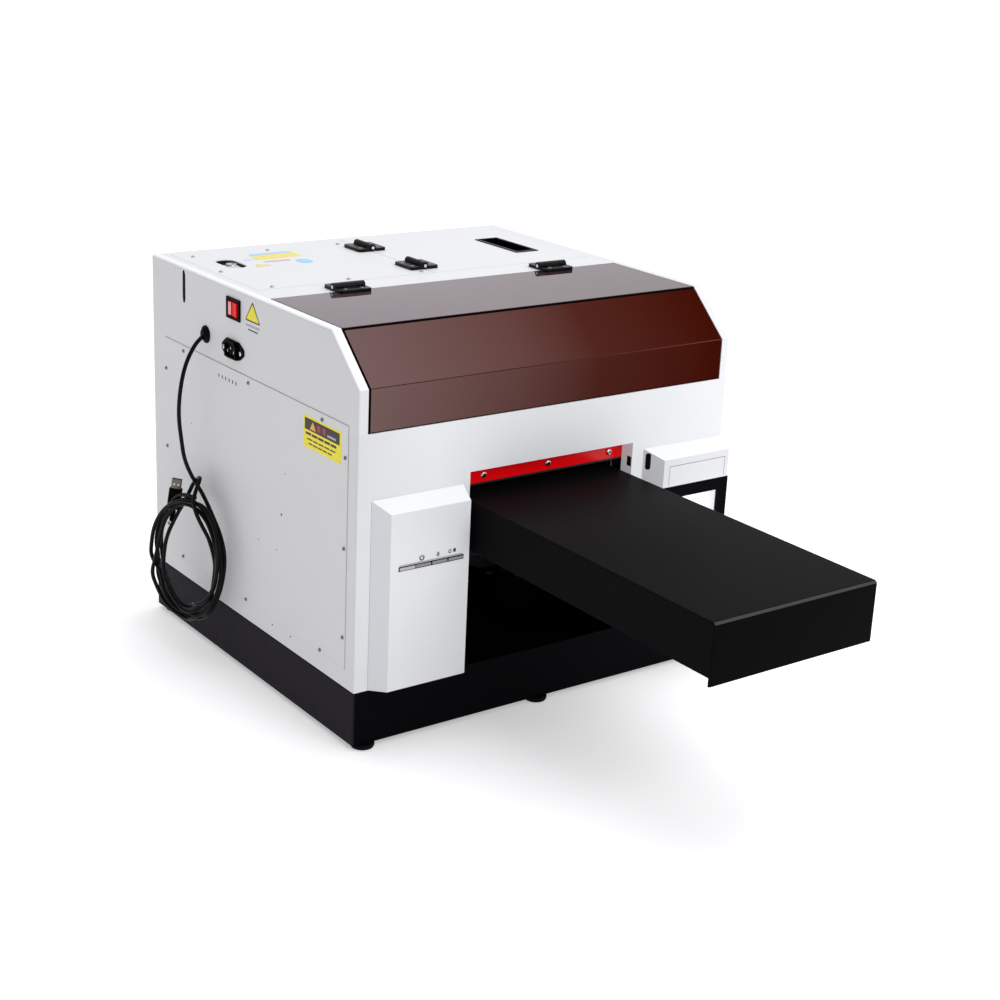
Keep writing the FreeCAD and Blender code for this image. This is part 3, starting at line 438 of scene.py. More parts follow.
def block(a, b):
    """A rectangle, from its two limits across and its two limits up."""
    return [(a[0], b[0]), (a[1], b[0]), (a[1], b[1]), (a[0], b[1])]


def prism(face, outline, low, high):
    """Vertices and faces of a flat shape, from one height above its face to another."""
    count = len(outline)
    vertices = [face.point(a, b, height) * MM for height in (low, high) for a, b in outline]
    ring = range(count)
    faces = [(i, (i + 1) % count, count + (i + 1) % count, count + i) for i in ring]
    return vertices, faces + [tuple(reversed(ring)), tuple(count + i for i in ring)]


def plate(name, face, outline, low, high, finish, hole=None, **fitting):
    """A flat shape as a finished piece. A hole has as many points as the outline."""
    vertices, faces = prism(face, outline, low, high)
    if hole:
        count = len(outline)
        vertices += [face.point(a, b, height) * MM for height in (low, high) for a, b in hole]
        faces = faces[:count]
        for i in range(count):
            j = (i + 1) % count
            faces.append((2 * count + j, 2 * count + i, 3 * count + i, 3 * count + j))
            faces.append((count + i, count + j, 3 * count + j, 3 * count + i))
            faces.append((j, i, 2 * count + i, 2 * count + j))
    return finish_piece(mesh_piece(name, vertices, faces), finish, **fitting)


def lathe(face, centre, profile, count=20):
    """Rings of a turned shape: each step of the profile is a radius and a height."""
    vertices = [face.point(a, b, height) * MM for radius, height in profile
                for a, b in ellipse(centre, radius, count=count)]
    faces = []
    for level in range(len(profile) - 1):
        for i in range(count):
            j = (i + 1) % count
            low, high = level * count, (level + 1) * count
            faces.append((low + i, low + j, high + j, high + i))
    last = (len(profile) - 1) * count
    faces.append(tuple(last + i for i in range(count)))
    faces.append(tuple(reversed(range(count))))
    return vertices, faces


def merged(name, shapes, finish, **fitting):
    """One finished piece from several lists of vertices and faces."""
    vertices, faces = [], []
    for more, skin in shapes:
        first = len(vertices)
        vertices += more
        faces += [tuple(first + i for i in face) for face in skin]
    return finish_piece(mesh_piece(name, vertices, faces), finish, **fitting)


def cross_outline(centre, reach, half, turn):
    """A plus sign, as an outline."""
    corners = [(reach, -half), (reach, half), (half, half), (half, reach), (-half, reach),
               (-half, half), (-reach, half), (-reach, -half), (-half, -half), (-half, -reach),
               (half, -reach), (half, -half)]
    cosine, sine = math.cos(turn), math.sin(turn)
    return [(centre[0] + a * cosine - b * sine, centre[1] + a * sine + b * cosine) for a, b in corners]


# ---- data lead ----

CORD = 4.8 * MM
# The stretches of the lead keep this far apart, in millimetres, between their middles.
CORD_GAP = 5.15
# From inside the gland, out and down to the top right of the coil.
LEAD_ROUTE = [(-258, 293, 393.2), (-268.5, 290.5, 387), (-277.5, 288.5, 376.5), (-285.5, 287.5, 362),
              (-291, 287, 344), (-294.3, 288, 320), (-294.6, 289, 296), (-292, 288, 271), (-289, 288, 248),
              (-282.5, 283.5, 227.5), (-274.5, 271, 208), (-272.8, 258, 194.5), (-272.5, 243, 181)]
COIL_CENTRE = Vector((-288.5, 280, 123))
COIL_ACROSS = Vector((0.314, -0.949, 0)).normalized()
COIL_IN = Vector((0.949, 0.314, 0)).normalized()
COIL_HALF_WIDTH = 54
COIL_HALF_HEIGHT = 73
COIL_SKEW = 5
COIL_START = 52


def coil_point(across, up, inward):
    """A point beside the machine, from its place on the coil's face and its depth towards the machine."""
    return COIL_CENTRE + across * COIL_ACROSS + Vector((0, 0, up)) + inward * COIL_IN


# The turn that is hooked over the lead, from the inner left, over the top, to the inner right.
HOOK = [(-38, 5, -3), (-36, 24, 1), (-26.5, 47, 6), (-16.5, 66, 9.6), (-10.5, 80, 13), (-7, 90, 15.5),
        (0, 98, 15.5), (9, 103, 11.5), (14.5, 101, 5), (15, 94, -0.5), (17, 86, -6.5), (19, 77, -9.6),
        (22.5, 65, -9), (29.5, 50, -6), (37.5, 36, -3)]


def bundle_point(angle, outward, inward):
    """A place in the bundle: the angle runs clockwise from the top, the offsets start at its middle."""
    sine, cosine = math.sin(angle), math.cos(angle)
    normal = Vector((sine / COIL_HALF_WIDTH, cosine / COIL_HALF_HEIGHT)).normalized()
    across = COIL_HALF_WIDTH * sine + COIL_SKEW * cosine
    return across + normal.x * outward, COIL_HALF_HEIGHT * cosine + normal.y * outward, inward


def coil_turns():
    """About five loose turns: two side by side, one hooked over the lead, one inside, one wound round all."""
    per_turn, to_hook, inner = 24, 14, 20
    step = 2 * math.pi / per_turn
    points = []
    start = math.radians(COIL_START)
    for number in range(2 * per_turn):
        turn = number / per_turn
        angle = start + number * step
        lie = math.radians(60 - 100 * turn)
        reach = 3.4 + 0.8 * math.sin(2.3 * angle + turn)
        points.append(bundle_point(angle, reach * math.cos(lie), reach * math.sin(lie)))
    # on round to the inner left, where the hooked stretch begins
    start = math.radians(2 * 360 + COIL_START)
    for number in range(to_hook):
        ease = number / to_hook
        points.append(bundle_point(start + number * step, -2.5 - 9 * ease, -4.2 + 1.5 * ease))
    points += HOOK
    # from the inner right, where it ends, outwards through most of a turn
    start = math.radians(3 * 360 + COIL_START + 30)
    for number in range(inner):
        ease = number / inner
        points.append(bundle_point(start + number * step, -8 + 13 * ease, -2 - 3 * ease))
    start += inner * step
    for number in range(per_turn):
        wrap = math.radians(-20 - 15 * number)
        points.append(bundle_point(start + number * step, 9 * math.cos(wrap), 7 * math.sin(wrap)))
    return [Vector(point) for point in points]


def spread(points, fixed):
    """Pushes apart the stretches of a loose cord that would lie in each other, past its fixed points."""
    rounds, neighbours, firmness, tiny = 260, 4, 0.35, 1e-6
    place = np.array([tuple(point) for point in points])
    number = np.arange(len(place))
    apart = np.abs(number[:, None] - number[None, :]) > neighbours
    for _ in range(rounds):
        start, step = place[:-1], place[1:] - place[:-1]
        move = np.zeros_like(place)
        length = (step ** 2).sum(1)
        for index in range(len(place)):
            share = np.clip(((place[index] - start) * step).sum(1) / length, 0, 1)
            foot = start + share[:, None] * step
            away = place[index] - foot
            distance = np.linalg.norm(away, axis=1)
            close = (distance < CORD_GAP) & apart[index, :-1] & apart[index, 1:]
            for other in np.nonzero(close)[0]:
                push = away[other] / max(distance[other], tiny) * (CORD_GAP - distance[other]) * firmness
                move[index] += push
                move[other] -= push * (1 - share[other])
                move[other + 1] -= push * share[other]
        move[:fixed] = 0
        place[fixed:] += move[fixed:]
    return [Vector(point) for point in place]


def nurbs_cord(name, points, diameter):
    data = bpy.data.curves.new(name, "CURVE")
    data.dimensions = "3D"
    spline = data.splines.new("NURBS")
    spline.points.add(len(points) - 1)
    for target, point in zip(spline.points, points):
        target.co = (*point, 1)
    spline.order_u = 3
    spline.use_endpoint_u = True
    spline.resolution_u = 6
    data.bevel_depth = diameter / 2
    data.bevel_resolution = 5
    data.use_fill_caps = True
    piece = bpy.data.objects.new(name, data)
    scene.collection.objects.link(piece)
    return piece


def spline_points(piece):
    """Points along a curve's own line, as an evaluated copy with no bevel gives them."""
    bare = piece.data.copy()
    bare.bevel_depth = 0
    probe = bpy.data.objects.new("probe", bare)
    line = bpy.data.meshes.new_from_object(probe)
    points = [v.co.copy() for v in line.vertices]
    bpy.data.objects.remove(probe)
    bpy.data.meshes.remove(line)
    bpy.data.curves.remove(bare)
    return points


def data_lead(plug_piece):
    """The lead from the gland through its coil, as one cord."""
    route = [Vector(point) for point in LEAD_ROUTE]
    turns = [coil_point(*point) for point in coil_turns()]
    points = spread(route + turns, len(route) - 2)
    lead = nurbs_cord("data_lead", [point * MM for point in points], CORD)
    lead.data.materials.append(FINISH["cable_sheath"])
    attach(lead, "chassis")
    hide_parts("usb_cord", "usb_coil")
    path = spline_points(lead)
    length = sum((b - a).length for a, b in zip(path, path[1:]))
    print("lead length", round(length, 4))


# ---- finishes ----

WHITE = (0.80, 0.81, 0.83)
# The X at which the painted shade at the front's left edge has faded out, in millimetres.
SHADE_END = -160
# The hood: height of its lower bend, Y of its upper one, and places of its dark lines of painted shade, in
# millimetres.
HOOD_KNEE = 409
HOOD_CREST = 12
HOOD_CREST_LINE = 459.7
HOOD_HEM_LINE = 361.2
HOOD_SIDE_LINE = -243
HINGES = ("hood_hinge_fixed", "hood_hinge_moving", "lid_hinge_fixed", "lid_hinge_moving")
# CAD nodes with a paint of their own beside the one that their slot has.
SPECIAL = {
    "control_pod": "pod_white", "ink_pod": "pod_white", "button_trim": "trim_silver",
    "lift_table": "black_anodised", "bed_carriage": "black_anodised",
    "right_side_panel": "white_sheet", "bed_tray": "bed_black", **dict.fromkeys(HINGES, "hinge_black"),
}


# Moulded plastics: colour, roughness, grain, scale of the grain, shine.
PLASTICS = {
    "black_plastic": ((0.0018, 0.0018, 0.0021), 0.42, 0.08, 2200, 0.03),
    "hinge_black": ((0.0022, 0.0022, 0.0026), 0.24, 0.03, 2200, 0.14),
    "red_plastic": ((0.92, 0.004, 0.003), 0.14, 0.02, 2200, 0.06),
    "silver_plastic": ((0.24, 0.24, 0.255), 0.36, 0.06),
    "trim_silver": ((0.48, 0.48, 0.50), 0.36, 0.06),
    "black_anodised": ((0.003, 0.003, 0.0035), 0.5, 0.04, 900, 0.05),
    "rubber": ((0.0025, 0.0025, 0.0025), 0.62, 0.2, 1500, 0.06),
    "circuit_board": ((0.01, 0.11, 0.035), 0.3, 0.05),
    "tank_plastic": ((0.62, 0.63, 0.66), 0.22, 0.04),
    "cable_sheath": ((0.0009, 0.0009, 0.0013), 0.32, 0.05, 900, 0.12),
    # Painted shade in seams.
    "seam_shade_grey": ((0.42, 0.42, 0.435), 0.5, 0.04, 900, 0.1),
    "line_grey": ((0.22, 0.22, 0.235), 0.5, 0.04, 900, 0.1),
    "shadow_grey": ((0.32, 0.32, 0.34), 0.4, 0.04, 900, 0.3),
    # Painted shade in slots, vents, holes, grooves and recesses, and the black of a few dark parts.
    "pit_black": ((0.0015, 0.0015, 0.0018), 0.7, 0.05, 900, 0.1),
}
# Bare metals: colour, roughness, axis of the fine lines.
METALS = {
    "bright_steel": ((0.72, 0.72, 0.73), 0.2),
    "ground_steel": ((0.62, 0.62, 0.64), 0.22, 1),
    "aluminium": ((0.75, 0.75, 0.77), 0.35, 1),
    # side_steel, roof_steel and clear_steel: one steel in painted shade and light, from darkest to brightest.
    "side_steel": ((0.26, 0.26, 0.27), 0.3),
    "roof_steel": ((0.50, 0.50, 0.51), 0.35),
    "shell_steel": ((0.17, 0.145, 0.12), 0.35),
    "clear_steel": ((0.85, 0.84, 0.82), 0.18),
}


def finishes():
    """Every paint and material of the machine, by name."""
    made = {
        "white_sheet": white_sheet(),
        # These three coats carry painted light and shade, by the way each face looks.
        "grey_white_sheet": coat_shaded_by_facing("grey_white_sheet", (0.71, 0.715, 0.73), (0.70, 0.70, 0.71),
                                       (0.87, 0.875, 0.885)),
        "pod_white": coat_shaded_by_facing("pod_white", (0.725, 0.73, 0.75), (0.60, 0.605, 0.63), (0.88, 0.885, 0.90)),
        "bed_black": bed_coat(),
        "bay_white": glowing_white("bay_white", 0.22),
        "backing_white": glowing_white("backing_white", 0.85),
        "black_sheet": coat_shaded_by_facing("black_sheet", (0.0021, 0.0018, 0.0026), (0.0215, 0.0188, 0.0238),
                                  (0.0055, 0.0046, 0.0065), 0.46, 0.08, 0.015),
        "dark_steel": powder_coat("dark_steel", (0.02, 0.02, 0.022), 0.5, 0.08),
        "red_paint": red_paint(),
        "brown_acrylic": acrylic(),
        # A painted highlight for the rocker, made like a print.
        "painted_glint_pink": printed("painted_glint_pink", (0.90, 0.42, 0.42)),
        "label_white": printed("print_white", (0.82, 0.82, 0.84)),
    }
    made.update((name, moulded(name, *values)) for name, values in PLASTICS.items())
    made.update((name, machined(name, *values)) for name, values in METALS.items())
    return made


def white_sheet():
    """White paint with painted shade: a little darker towards the left edge of the front and on the roof."""
    shader = Shader("white_sheet", Specular_IOR_Level=0.3)
    x, _, _ = shader.parts(shader.where)
    _, _, up = shader.parts(shader.add("ShaderNodeNewGeometry").outputs["Normal"])
    drift = shader.blend(shader.ramp(shader.noise(6, 2), 0, 1), WHITE, tint(WHITE, 0.965))
    # painted shade towards the front's left edge, and on the faces that look up
    front = shader.blend(shader.ramp(x, 1, 0, SIDE * MM, SHADE_END * MM), drift, tint(WHITE, 0.82))
    shader.colour(shader.blend(shader.ramp(up, 0, 1, 0.3, 0.6), front, tint(WHITE, 0.93)))
    shader.orange_peel(0.42, 0.05)
    return shader.material


def red_paint():
    """Glossy red with a little light of its own, since it lies in shade."""
    shader = Shader("red_paint", Roughness=0.2, Specular_IOR_Level=0.2, Emission_Color=(0.75, 0.0, 0.006),
                    Emission_Strength=0.16)
    drift = shader.ramp(shader.noise(12, 2), 0, 1)
    shader.colour(shader.blend(drift, (0.80, 0.002, 0.004), (0.72, 0.002, 0.004)))
    shader.bump(shader.noise(260, 2), 0.03, 0.0006)
    return shader.material


def glowing_white(name, glow):
    """White paint with a little light of its own, for recessed sheet."""
    shader = Shader(name, Roughness=0.4, Specular_IOR_Level=0.2, Emission_Color=(0.95, 0.95, 1.0),
                    Emission_Strength=glow)
    drift = shader.ramp(shader.noise(30, 2), 0, 1)
    shader.colour(shader.blend(drift, (0.72, 0.72, 0.74), (0.66, 0.66, 0.68)))
    return shader.material


def bed_coat():
    """Black powder coat for the bed, with painted shade and light: a tone for each facing, and pale where its
    front fold catches the light.
    """
    shader = Shader("bed_black", Roughness=0.42, Specular_IOR_Level=0.015)
    x, _, z = shader.parts(shader.add("ShaderNodeNewGeometry").outputs["Normal"])
    # painted light and shade: darkest on the faces that look forwards, lighter on those to the left and up
    tone = shader.blend(shader.ramp(x, 1, 0, -0.9, -0.3), (0.0017, 0.0016, 0.0020), (0.0042, 0.0040, 0.0048))
    tone = shader.blend(shader.ramp(z, 0, 1, 0.3, 0.6), tone, (0.0060, 0.0056, 0.0064))
    fold_highlight = shader.blend(shader.ramp(x, 0, 1, -0.3, -0.1), (0.0050, 0.0048, 0.0055), (0.055, 0.055, 0.060))
    shader.colour(shader.blend(shader.near(z, 0.60, 0.30), tone, fold_highlight))
    shader.bump(shader.noise(1500, 2), 0.05, 0.0004)
    return shader.material


def acrylic():
    """Dark brown acrylic, a mirror on top, with painted reflection and shade: greyer at the left, redder at
    the right, toned on top and along its lower bend, and dark painted lines at its bends.
    """
    shader = Shader("brown_acrylic", Roughness=0.04, IOR=2.4, Specular_Tint=(1.0, 0.84, 0.90))
    x, _, z = shader.parts(shader.where)
    to_left = shader.ramp(x, 1, 0, -0.25, 0.06)
    to_right = shader.ramp(x, 0, 1, -0.05, 0.25)
    # painted reflection: greyer to the left, redder and darker to the right
    pane = shader.blend(to_right, (0.085, 0.023, 0.017), (0.042, 0.0034, 0.0008))
    pane = shader.blend(to_left, pane, (0.152, 0.094, 0.090))
    # painted reflection along the lower bend
    knee_reflection = shader.blend(to_right, (0.020, 0.008, 0.007), (0.15, 0.05, 0.045))
    pane = shader.blend(shader.near(z, HOOD_KNEE * MM, 0.35 * MM), pane, knee_reflection)
    on_top = shader.ramp(z, 0, 1, (ROOF - 0.3) * MM, (ROOF - 0.1) * MM)
    # the top face's own painted reflection tone
    top = shader.blend(to_right, (0.070, 0.042, 0.052), (0.026, 0.004, 0.008))
    pane = shader.blend(on_top, pane, top)
    # dark lines of painted shade at the crest, the hem and the left side
    for axis, line, reach in ((z, HOOD_CREST_LINE, 1.05), (z, HOOD_HEM_LINE, 1.3), (x, HOOD_SIDE_LINE, 1.4)):
        pane = shader.blend(shader.near(axis, line * MM, reach * MM), pane, (0.004, 0.002, 0.002))
    shader.colour(pane)
    shader.join(shader.ramp(on_top, 0, 0.39, 0, 1), shader.surface.inputs["Specular IOR Level"])
    shader.bump(shader.noise(9, 1), 0.015, 0.002)
    return shader.material


FINISH = finishes()


def dress_nodes():
    """Paints the CAD nodes that show as they are."""
    for name, slot in SLOT.items():
        NODES[name].data.materials.clear()
        NODES[name].data.materials.append(FINISH[SPECIAL.get(name, slot)])


# ---- casing ----

# CAD nodes shown with rounded edges, and by how many millimetres.
SOFT_EDGES = {
    "base_tray": 1.2, "left_side_panel": 0.5, "right_side_panel": 0.5, "front_panel": 0.7, "rear_panel": 0.4,
    "left_access_cover": 0.3, "right_access_cover": 0.3, "top_plate": 0.3, "top_lid": 0.3, "top_frame": 0.3,
    "control_pod": 1.6, "ink_pod": 1.6, "ink_bay_frame": 1.2, "red_strip": 0.4, "rubber_feet": 2.2,
    "power_button": 0.9, "ink_button": 0.9, "paper_button": 0.9, "button_trim": 0.7, "lid_pull_bezel": 0.3,
    **dict.fromkeys(HINGES, 0.9), "rocker_bezel": 0.8, "cable_gland": 1.0, "bed_tray": 0.8,
    "bed_carriage": 1.0,
}
HOOD_SHEET = 3
HOOD_BEND = 5
HINGE_BARREL = 4.5
HINGE_LEAF = 4
HINGE_SCREW = 11
INLET_Y = 226.5
INLET_Z = 389.6
# Radius and height of a pan head at each step, as shares of its own.
HEAD_PROFILE = [(0.97, 0), (1, 0.25), (0.95, 0.55), (0.8, 0.82), (0.5, 0.97)]


def bent_section(corners, thickness, radius, steps=6):
    """Outline of a folded sheet, from the outside line of its corners and the outer radius of its bends."""
    points = [Vector(corner) for corner in corners]
    runs = [(after - before).normalized() for before, after in zip(points, points[1:])]
    normals = [Vector((run.y, -run.x)) for run in runs]
    outside, inside = [points[0]], [points[0] + normals[0] * thickness]
    for corner, run, before, after in zip(points[1:], runs, normals, normals[1:]):
        middle = corner - run * radius * math.tan(before.angle(after) / 2) + before * radius
        for k in range(steps + 1):
            spoke = -before.lerp(after, k / steps).normalized()
            outside.append(middle + spoke * radius)
            inside.append(middle + spoke * (radius - thickness))
    outside.append(points[-1])
    inside.append(points[-1] + normals[-1] * thickness)
    return inside + outside[::-1]


def hood_sheet():
    """The acrylic hood: one sheet with two bends."""
    low, high = (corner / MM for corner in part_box("hood"))
    corners = [(low.y, low.z), (low.y, HOOD_KNEE), (HOOD_CREST, high.z), (high.y, high.z)]
    section = bent_section(corners, HOOD_SHEET, HOOD_BEND)
    sideways = Face((0, 0, 0), (0, 1, 0), (0, 0, 1))
    piece = plate("hood_sheet", sideways, section, low.x, high.x, "brown_acrylic", body="hood",
                  slot="brown_acrylic", edge=0.5)
    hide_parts("hood")


def screws():
    """Pan heads with cross recesses where the CAD has its plain ones."""
    # One steel in painted light and shade: darker on the sides, lighter on the roof, brightest on the front
    # and by the inlet.
    heads = {"side_steel": [], "roof_steel": [], "clear_steel": []}
    crosses = []
    for number, (low, high) in enumerate(islands("panel_screws")):
        extent, middle = (high - low) / MM, (low + high) / 2 / MM
        axis = min(range(3), key=lambda i: extent[i])
        height = extent[axis]
        radius = max(extent) / 2
        if axis == 0:
            finish, share = "side_steel", 0.8
            face, centre = left_face(low.x / MM + height), (-middle.y, middle.z)
            if middle.x > 0:
                face, centre = Face((low.x / MM, 0, 0), (0, 1, 0), (0, 0, 1)), (middle.y, middle.z)
            elif abs(middle.z - INLET_Z) < 1:
                finish, share = "clear_steel", 0.9
        elif axis == 1:
            finish, share = "clear_steel", 1
            face, centre = front_face(high.y / MM), (middle.x, middle.z)
        else:
            finish, share = "roof_steel", 0.85
            face, centre = roof_face(low.z / MM), (middle.x, middle.y)
        heads[finish].append(lathe(face, centre, [(share * radius * r, height * h) for r, h in HEAD_PROFILE]))
        arms = cross_outline(centre, 0.55 * share * radius, 0.15 * share * radius, 0.7 * number)
        crosses.append(prism(face, arms, height * 0.5, height * 0.99))
    for finish, shapes in heads.items():
        piece = merged("screws_" + finish, shapes, finish, slot="bright_steel")
        if finish == "side_steel":
            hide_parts("panel_screws")
    # Painted shade in the cross recesses.
    merged("screw_recess_shade", crosses, "pit_black")


def hinge_details():
    """Countersunk screws on the leaves of the hinges."""
    for name in HINGES:
        lengthwise = 0 if name.startswith("hood") else 1
        across = 1 - lengthwise
        shapes = []
        for low, high in islands(name):
            low, high = low / MM, high / MM
            axle = low[across] + HINGE_BARREL
            if name in ("hood_hinge_moving", "lid_hinge_fixed"):
                axle = high[across] - HINGE_BARREL
            far = low[across] if axle > (low[across] + high[across]) / 2 else high[across]
            middle = axle + (far - axle) * 0.66
            along = (low[lengthwise] + high[lengthwise]) / 2
            for sign in (-1, 1):
                place = along + sign * HINGE_SCREW
                spot = (middle, place) if lengthwise else (place, middle)
                profile = [(2.6, -0.2), (2.6, 0.12), (2.1, 0.3), (1.0, 0.34)]
                shapes.append(lathe(roof_face(low.z + HINGE_LEAF), spot, profile, 14))
        body = NODES[name]["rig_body"]
        merged(name + "_screws", shapes, "side_steel", body=body, slot="bright_steel")


# Y, Z and radius of small holes on the left side and its cover.
SIDE_HOLES = [(331.4, 275, 0.8), (104.7, 276.9, 0.8), (112.3, 226.7, 1.5), (164.8, 180.5, 0.8),
              (122.8, 181.1, 0.8), (133.9, 85.4, 1.1), (91.7, 86.2, 1.1)]
VENTS = 6
VENT_Y = 218.5
VENT_Z = 352
VENT_PITCH = 8.34
SIDE_SLOT_Y = 349
SIDE_SLOT_Z = (421.4, 455.6)
POD_TAPER = 20


def side_gaps():
    """Dark plates of painted shade in the vents, the tall slot and small holes, a painted shade line atop the
    base, and painted shade lines round the left cover.
    """
    side, black = left_face(SIDE), "pit_black"
    vents = []
    for number in range(VENTS):
        outline = round_ended(-VENT_Y - VENT_PITCH * number, VENT_Z - 1.1, VENT_Z + 1.1, 1.15)
        vents.append(prism(side, outline, 0.02, 0.75))
    merged("vent_shade", vents, black)
    slot = round_ended(-SIDE_SLOT_Y, *SIDE_SLOT_Z, 2.4)
    plate("slot_shade", side, slot, 0.02, 0.2, black)
    cover_rear, cover_front = -cad_edge("left_access_cover", 1, 1), -cad_edge("left_access_cover", 0, 1)
    cover_low, cover_high = (cad_edge("left_access_cover", corner, 2) for corner in (0, 1))
    holes = [prism(side, ellipse((-y, z), radius, count=12), 0.02, 1.1 if z > cover_low else 0.1)
             for y, z, radius in SIDE_HOLES]
    merged("side_hole_shade", holes, black)
    base_top = cad_edge("base_tray", 1, 2)
    base_ends = (1 - cad_edge("base_tray", 1, 1), -1 - cad_edge("base_tray", 0, 1))
    # A black strip of painted shade in the gap above the base.
    plate("base_gap_shade", side, block(base_ends, (base_top - 1.8, base_top)), 0.0, 0.1, black)
    # Grey lines of painted shade below, in front of and above the cover.
    lines = [prism(side, block((cover_rear, cover_front), (cover_low - 0.7, cover_low)), 0.0, 0.3),
             prism(side, block((cover_front, cover_front + 0.5), (cover_low, cover_high)), 0.0, 0.2),
             prism(side, block((cover_rear, cover_front), (cover_high, cover_high + 0.5)), 0.0, 0.3)]
    merged("cover_shade_lines", lines, "seam_shade_grey")


def pod_gaps():
    """Painted shade in the right pod's slot and in the lines of its small panel, and a white plate with
    painted light behind the window below it.
    """
    depth = FRONT - POD_FRONT
    run = Vector((POD_TAPER, -depth, 0)).normalized()
    slope = Face((cad_edge("ink_pod", 0, 0), FRONT, 0), run, (0, 0, 1))
    along = 3.7 / depth * math.hypot(POD_TAPER, depth)
    slot = round_ended(along, 267.4, 282.6, 2.9, 2.4)
    # A dark plate of painted shade in the slot.
    plate("pod_slot_shade", slope, slot, -1.2, 0.12, "pit_black")
    left, right, low, high = 162.5, 250, 245, 268
    outlines = (block((left, right), (high - 0.1, high + 0.6)), block((left, left + 0.5), (low, high)),
                block((right - 0.5, right), (low, high)))
    # Grey lines of painted shade in the panel's grooves.
    lines = [prism(front_face(POD_FRONT), outline, -0.1, 0.04) for outline in outlines]
    merged("pod_groove_shade", lines, "line_grey")
    window = block((178, 254), (90, 229))
    # A glowing white plate: painted light on the panel seen through the window.
    plate("frame_backing_glow", front_face(FRONT), window, 0.02, 0.1, "backing_white")


def roof_and_bay_gaps():
    """Painted shade in the seams of the roof, and painted light on the turned edge of the front opening, with
    its sensor's window.
    """
    outlines = (block((-236.2, -235.8), (205, 425)), block((-236, 236), (204.8, 205.2)))
    # Grey lines of painted shade in the roof's seams.
    seams = [prism(roof_face(ROOF), outline, 0.0, 0.05) for outline in outlines]
    merged("roof_seam_shade", seams, "seam_shade_grey")
    edge = left_face(BAY_WALL)
    # A glowing plate: painted light on the opening's turned edge.
    plate("bay_edge_glow", edge, block((26.3, 44.2), (120, 299.6)), 0.02, 0.12, "bay_white")
    plate("bay_sensor", edge, block((36.6, 43.8), (270.8, 282.4)), 0.1, 0.2, "pit_black")


# ---- labels and icons ----

def sticker(name, face, outline, finish, level=0):
    """A thin print on a face. Each level lies on the one below."""
    return plate(name, face, outline, 0.02, 0.14 + 0.06 * level, finish)


def roof_labels():
    """Plain coloured prints in place of the roof's labels."""
    roof = roof_face(ROOF)
    # name, corners, radius of the corners, colour and level of each band
    bands = (
        ("blue", [(-153, 378), (-94, 378.5), (-93, 386.5), (-150, 386.5)], 0.8, (0.36, 0.62, 0.93), 0),
        ("yellow", [(-152, 352.5), (-92, 355.5), (-93.5, 378.5), (-153, 377)], 0.8, (0.86, 0.73, 0.13), 1),
        ("violet", [(-175, 355), (-154, 354), (-154, 360.5), (-170, 361)], 0.8, (0.58, 0.64, 0.90), 0),
        ("red", [(-153.5, 337.2), (-119, 336.2), (-119, 342), (-153.5, 342.5)], 0.6, (0.72, 0.32, 0.34), 0),
    )
    for name, corners, radius, colour, level in bands:
        finish = printed("print_" + name, colour)
        sticker("label_" + name, roof, softened_outline(corners, radius), finish, level)
    sticker("label_oval", roof, ellipse((-106.3, 326.3), 10, 12), printed("print_oval", (0.30, 0.64, 0.95)))
    outer = softened_outline([(-177.5, 315), (-153, 320), (-169, 334)], 1.2)
    sticker("label_triangle", roof, outer, printed("print_amber", (0.80, 0.66, 0.16)))
    inner = softened_outline([(-173.5, 318.5), (-162, 321), (-169.5, 328)], 0.8)
    sticker("label_triangle_face", roof, inner, printed("print_cream", (0.80, 0.76, 0.55)), 1)


def side_labels():
    """A plain triangle and two bars on the side, and a notice with rows of blank bars on the cover."""
    side, cover = left_face(SIDE), left_face(COVER)
    black, yellow = printed("print_black", (0.012, 0.010, 0.008)), printed("print_sun", (0.95, 0.80, 0.012))
    edge = softened_outline([(-198, 431.2), (-163.4, 431.2), (-180.7, 455)], 1.2)
    sticker("side_triangle_edge", side, edge, black)
    middle = softened_outline([(-195.4, 432.9), (-166, 432.9), (-180.7, 451.8)], 0.8)
    sticker("side_triangle", side, middle, yellow, 1)
    grey = printed("print_grey", (0.42, 0.41, 0.42))
    sticker("side_bar_upper", side, softened_outline(block((-196, -165), (425.2, 427.6)), 0.5), grey)
    sticker("side_bar_lower", side, softened_outline(block((-191, -169), (420.8, 422.3)), 0.4), black)
    sticker("notice", cover, softened_outline(block((-64.4, 13.5), (321.3, 356.4)), 1), yellow)
    sticker("notice_band", cover, block((-62.2, 9.9), (341.2, 354.2)), black, 1)
    triangle = softened_outline([(-51.5, 343), (-38.8, 343), (-45.1, 352.4)], 0.5)
    sticker("notice_triangle", cover, triangle, printed("print_orange", (0.85, 0.42, 0.06)), 2)
    red = printed("print_dark_red", (0.35, 0.03, 0.02))
    for number, left in enumerate((-36, -25)):
        mark = softened_outline(block((left, left + 6.5), (343.8, 351.2)), 1)
        sticker(f"notice_mark_{number}", cover, mark, red, 2)
    sticker("notice_bar", cover, block((-15, 2.5), (343.8, 346.4)), grey, 2)
    words, gap = 5, 1.6
    rows = ((335.8, 338.6, -60, 5), (330.4, 332.0, -57, 3), (325.6, 327.2, -54, -4))
    for number, (low, high, left, right) in enumerate(rows):
        pitch = (right - left) / words
        for word in range(words):
            start = left + pitch * word
            bar = block((start, start + pitch - gap), (low, high))
            sticker(f"notice_row_{number}_{word}", cover, bar, black, 1)


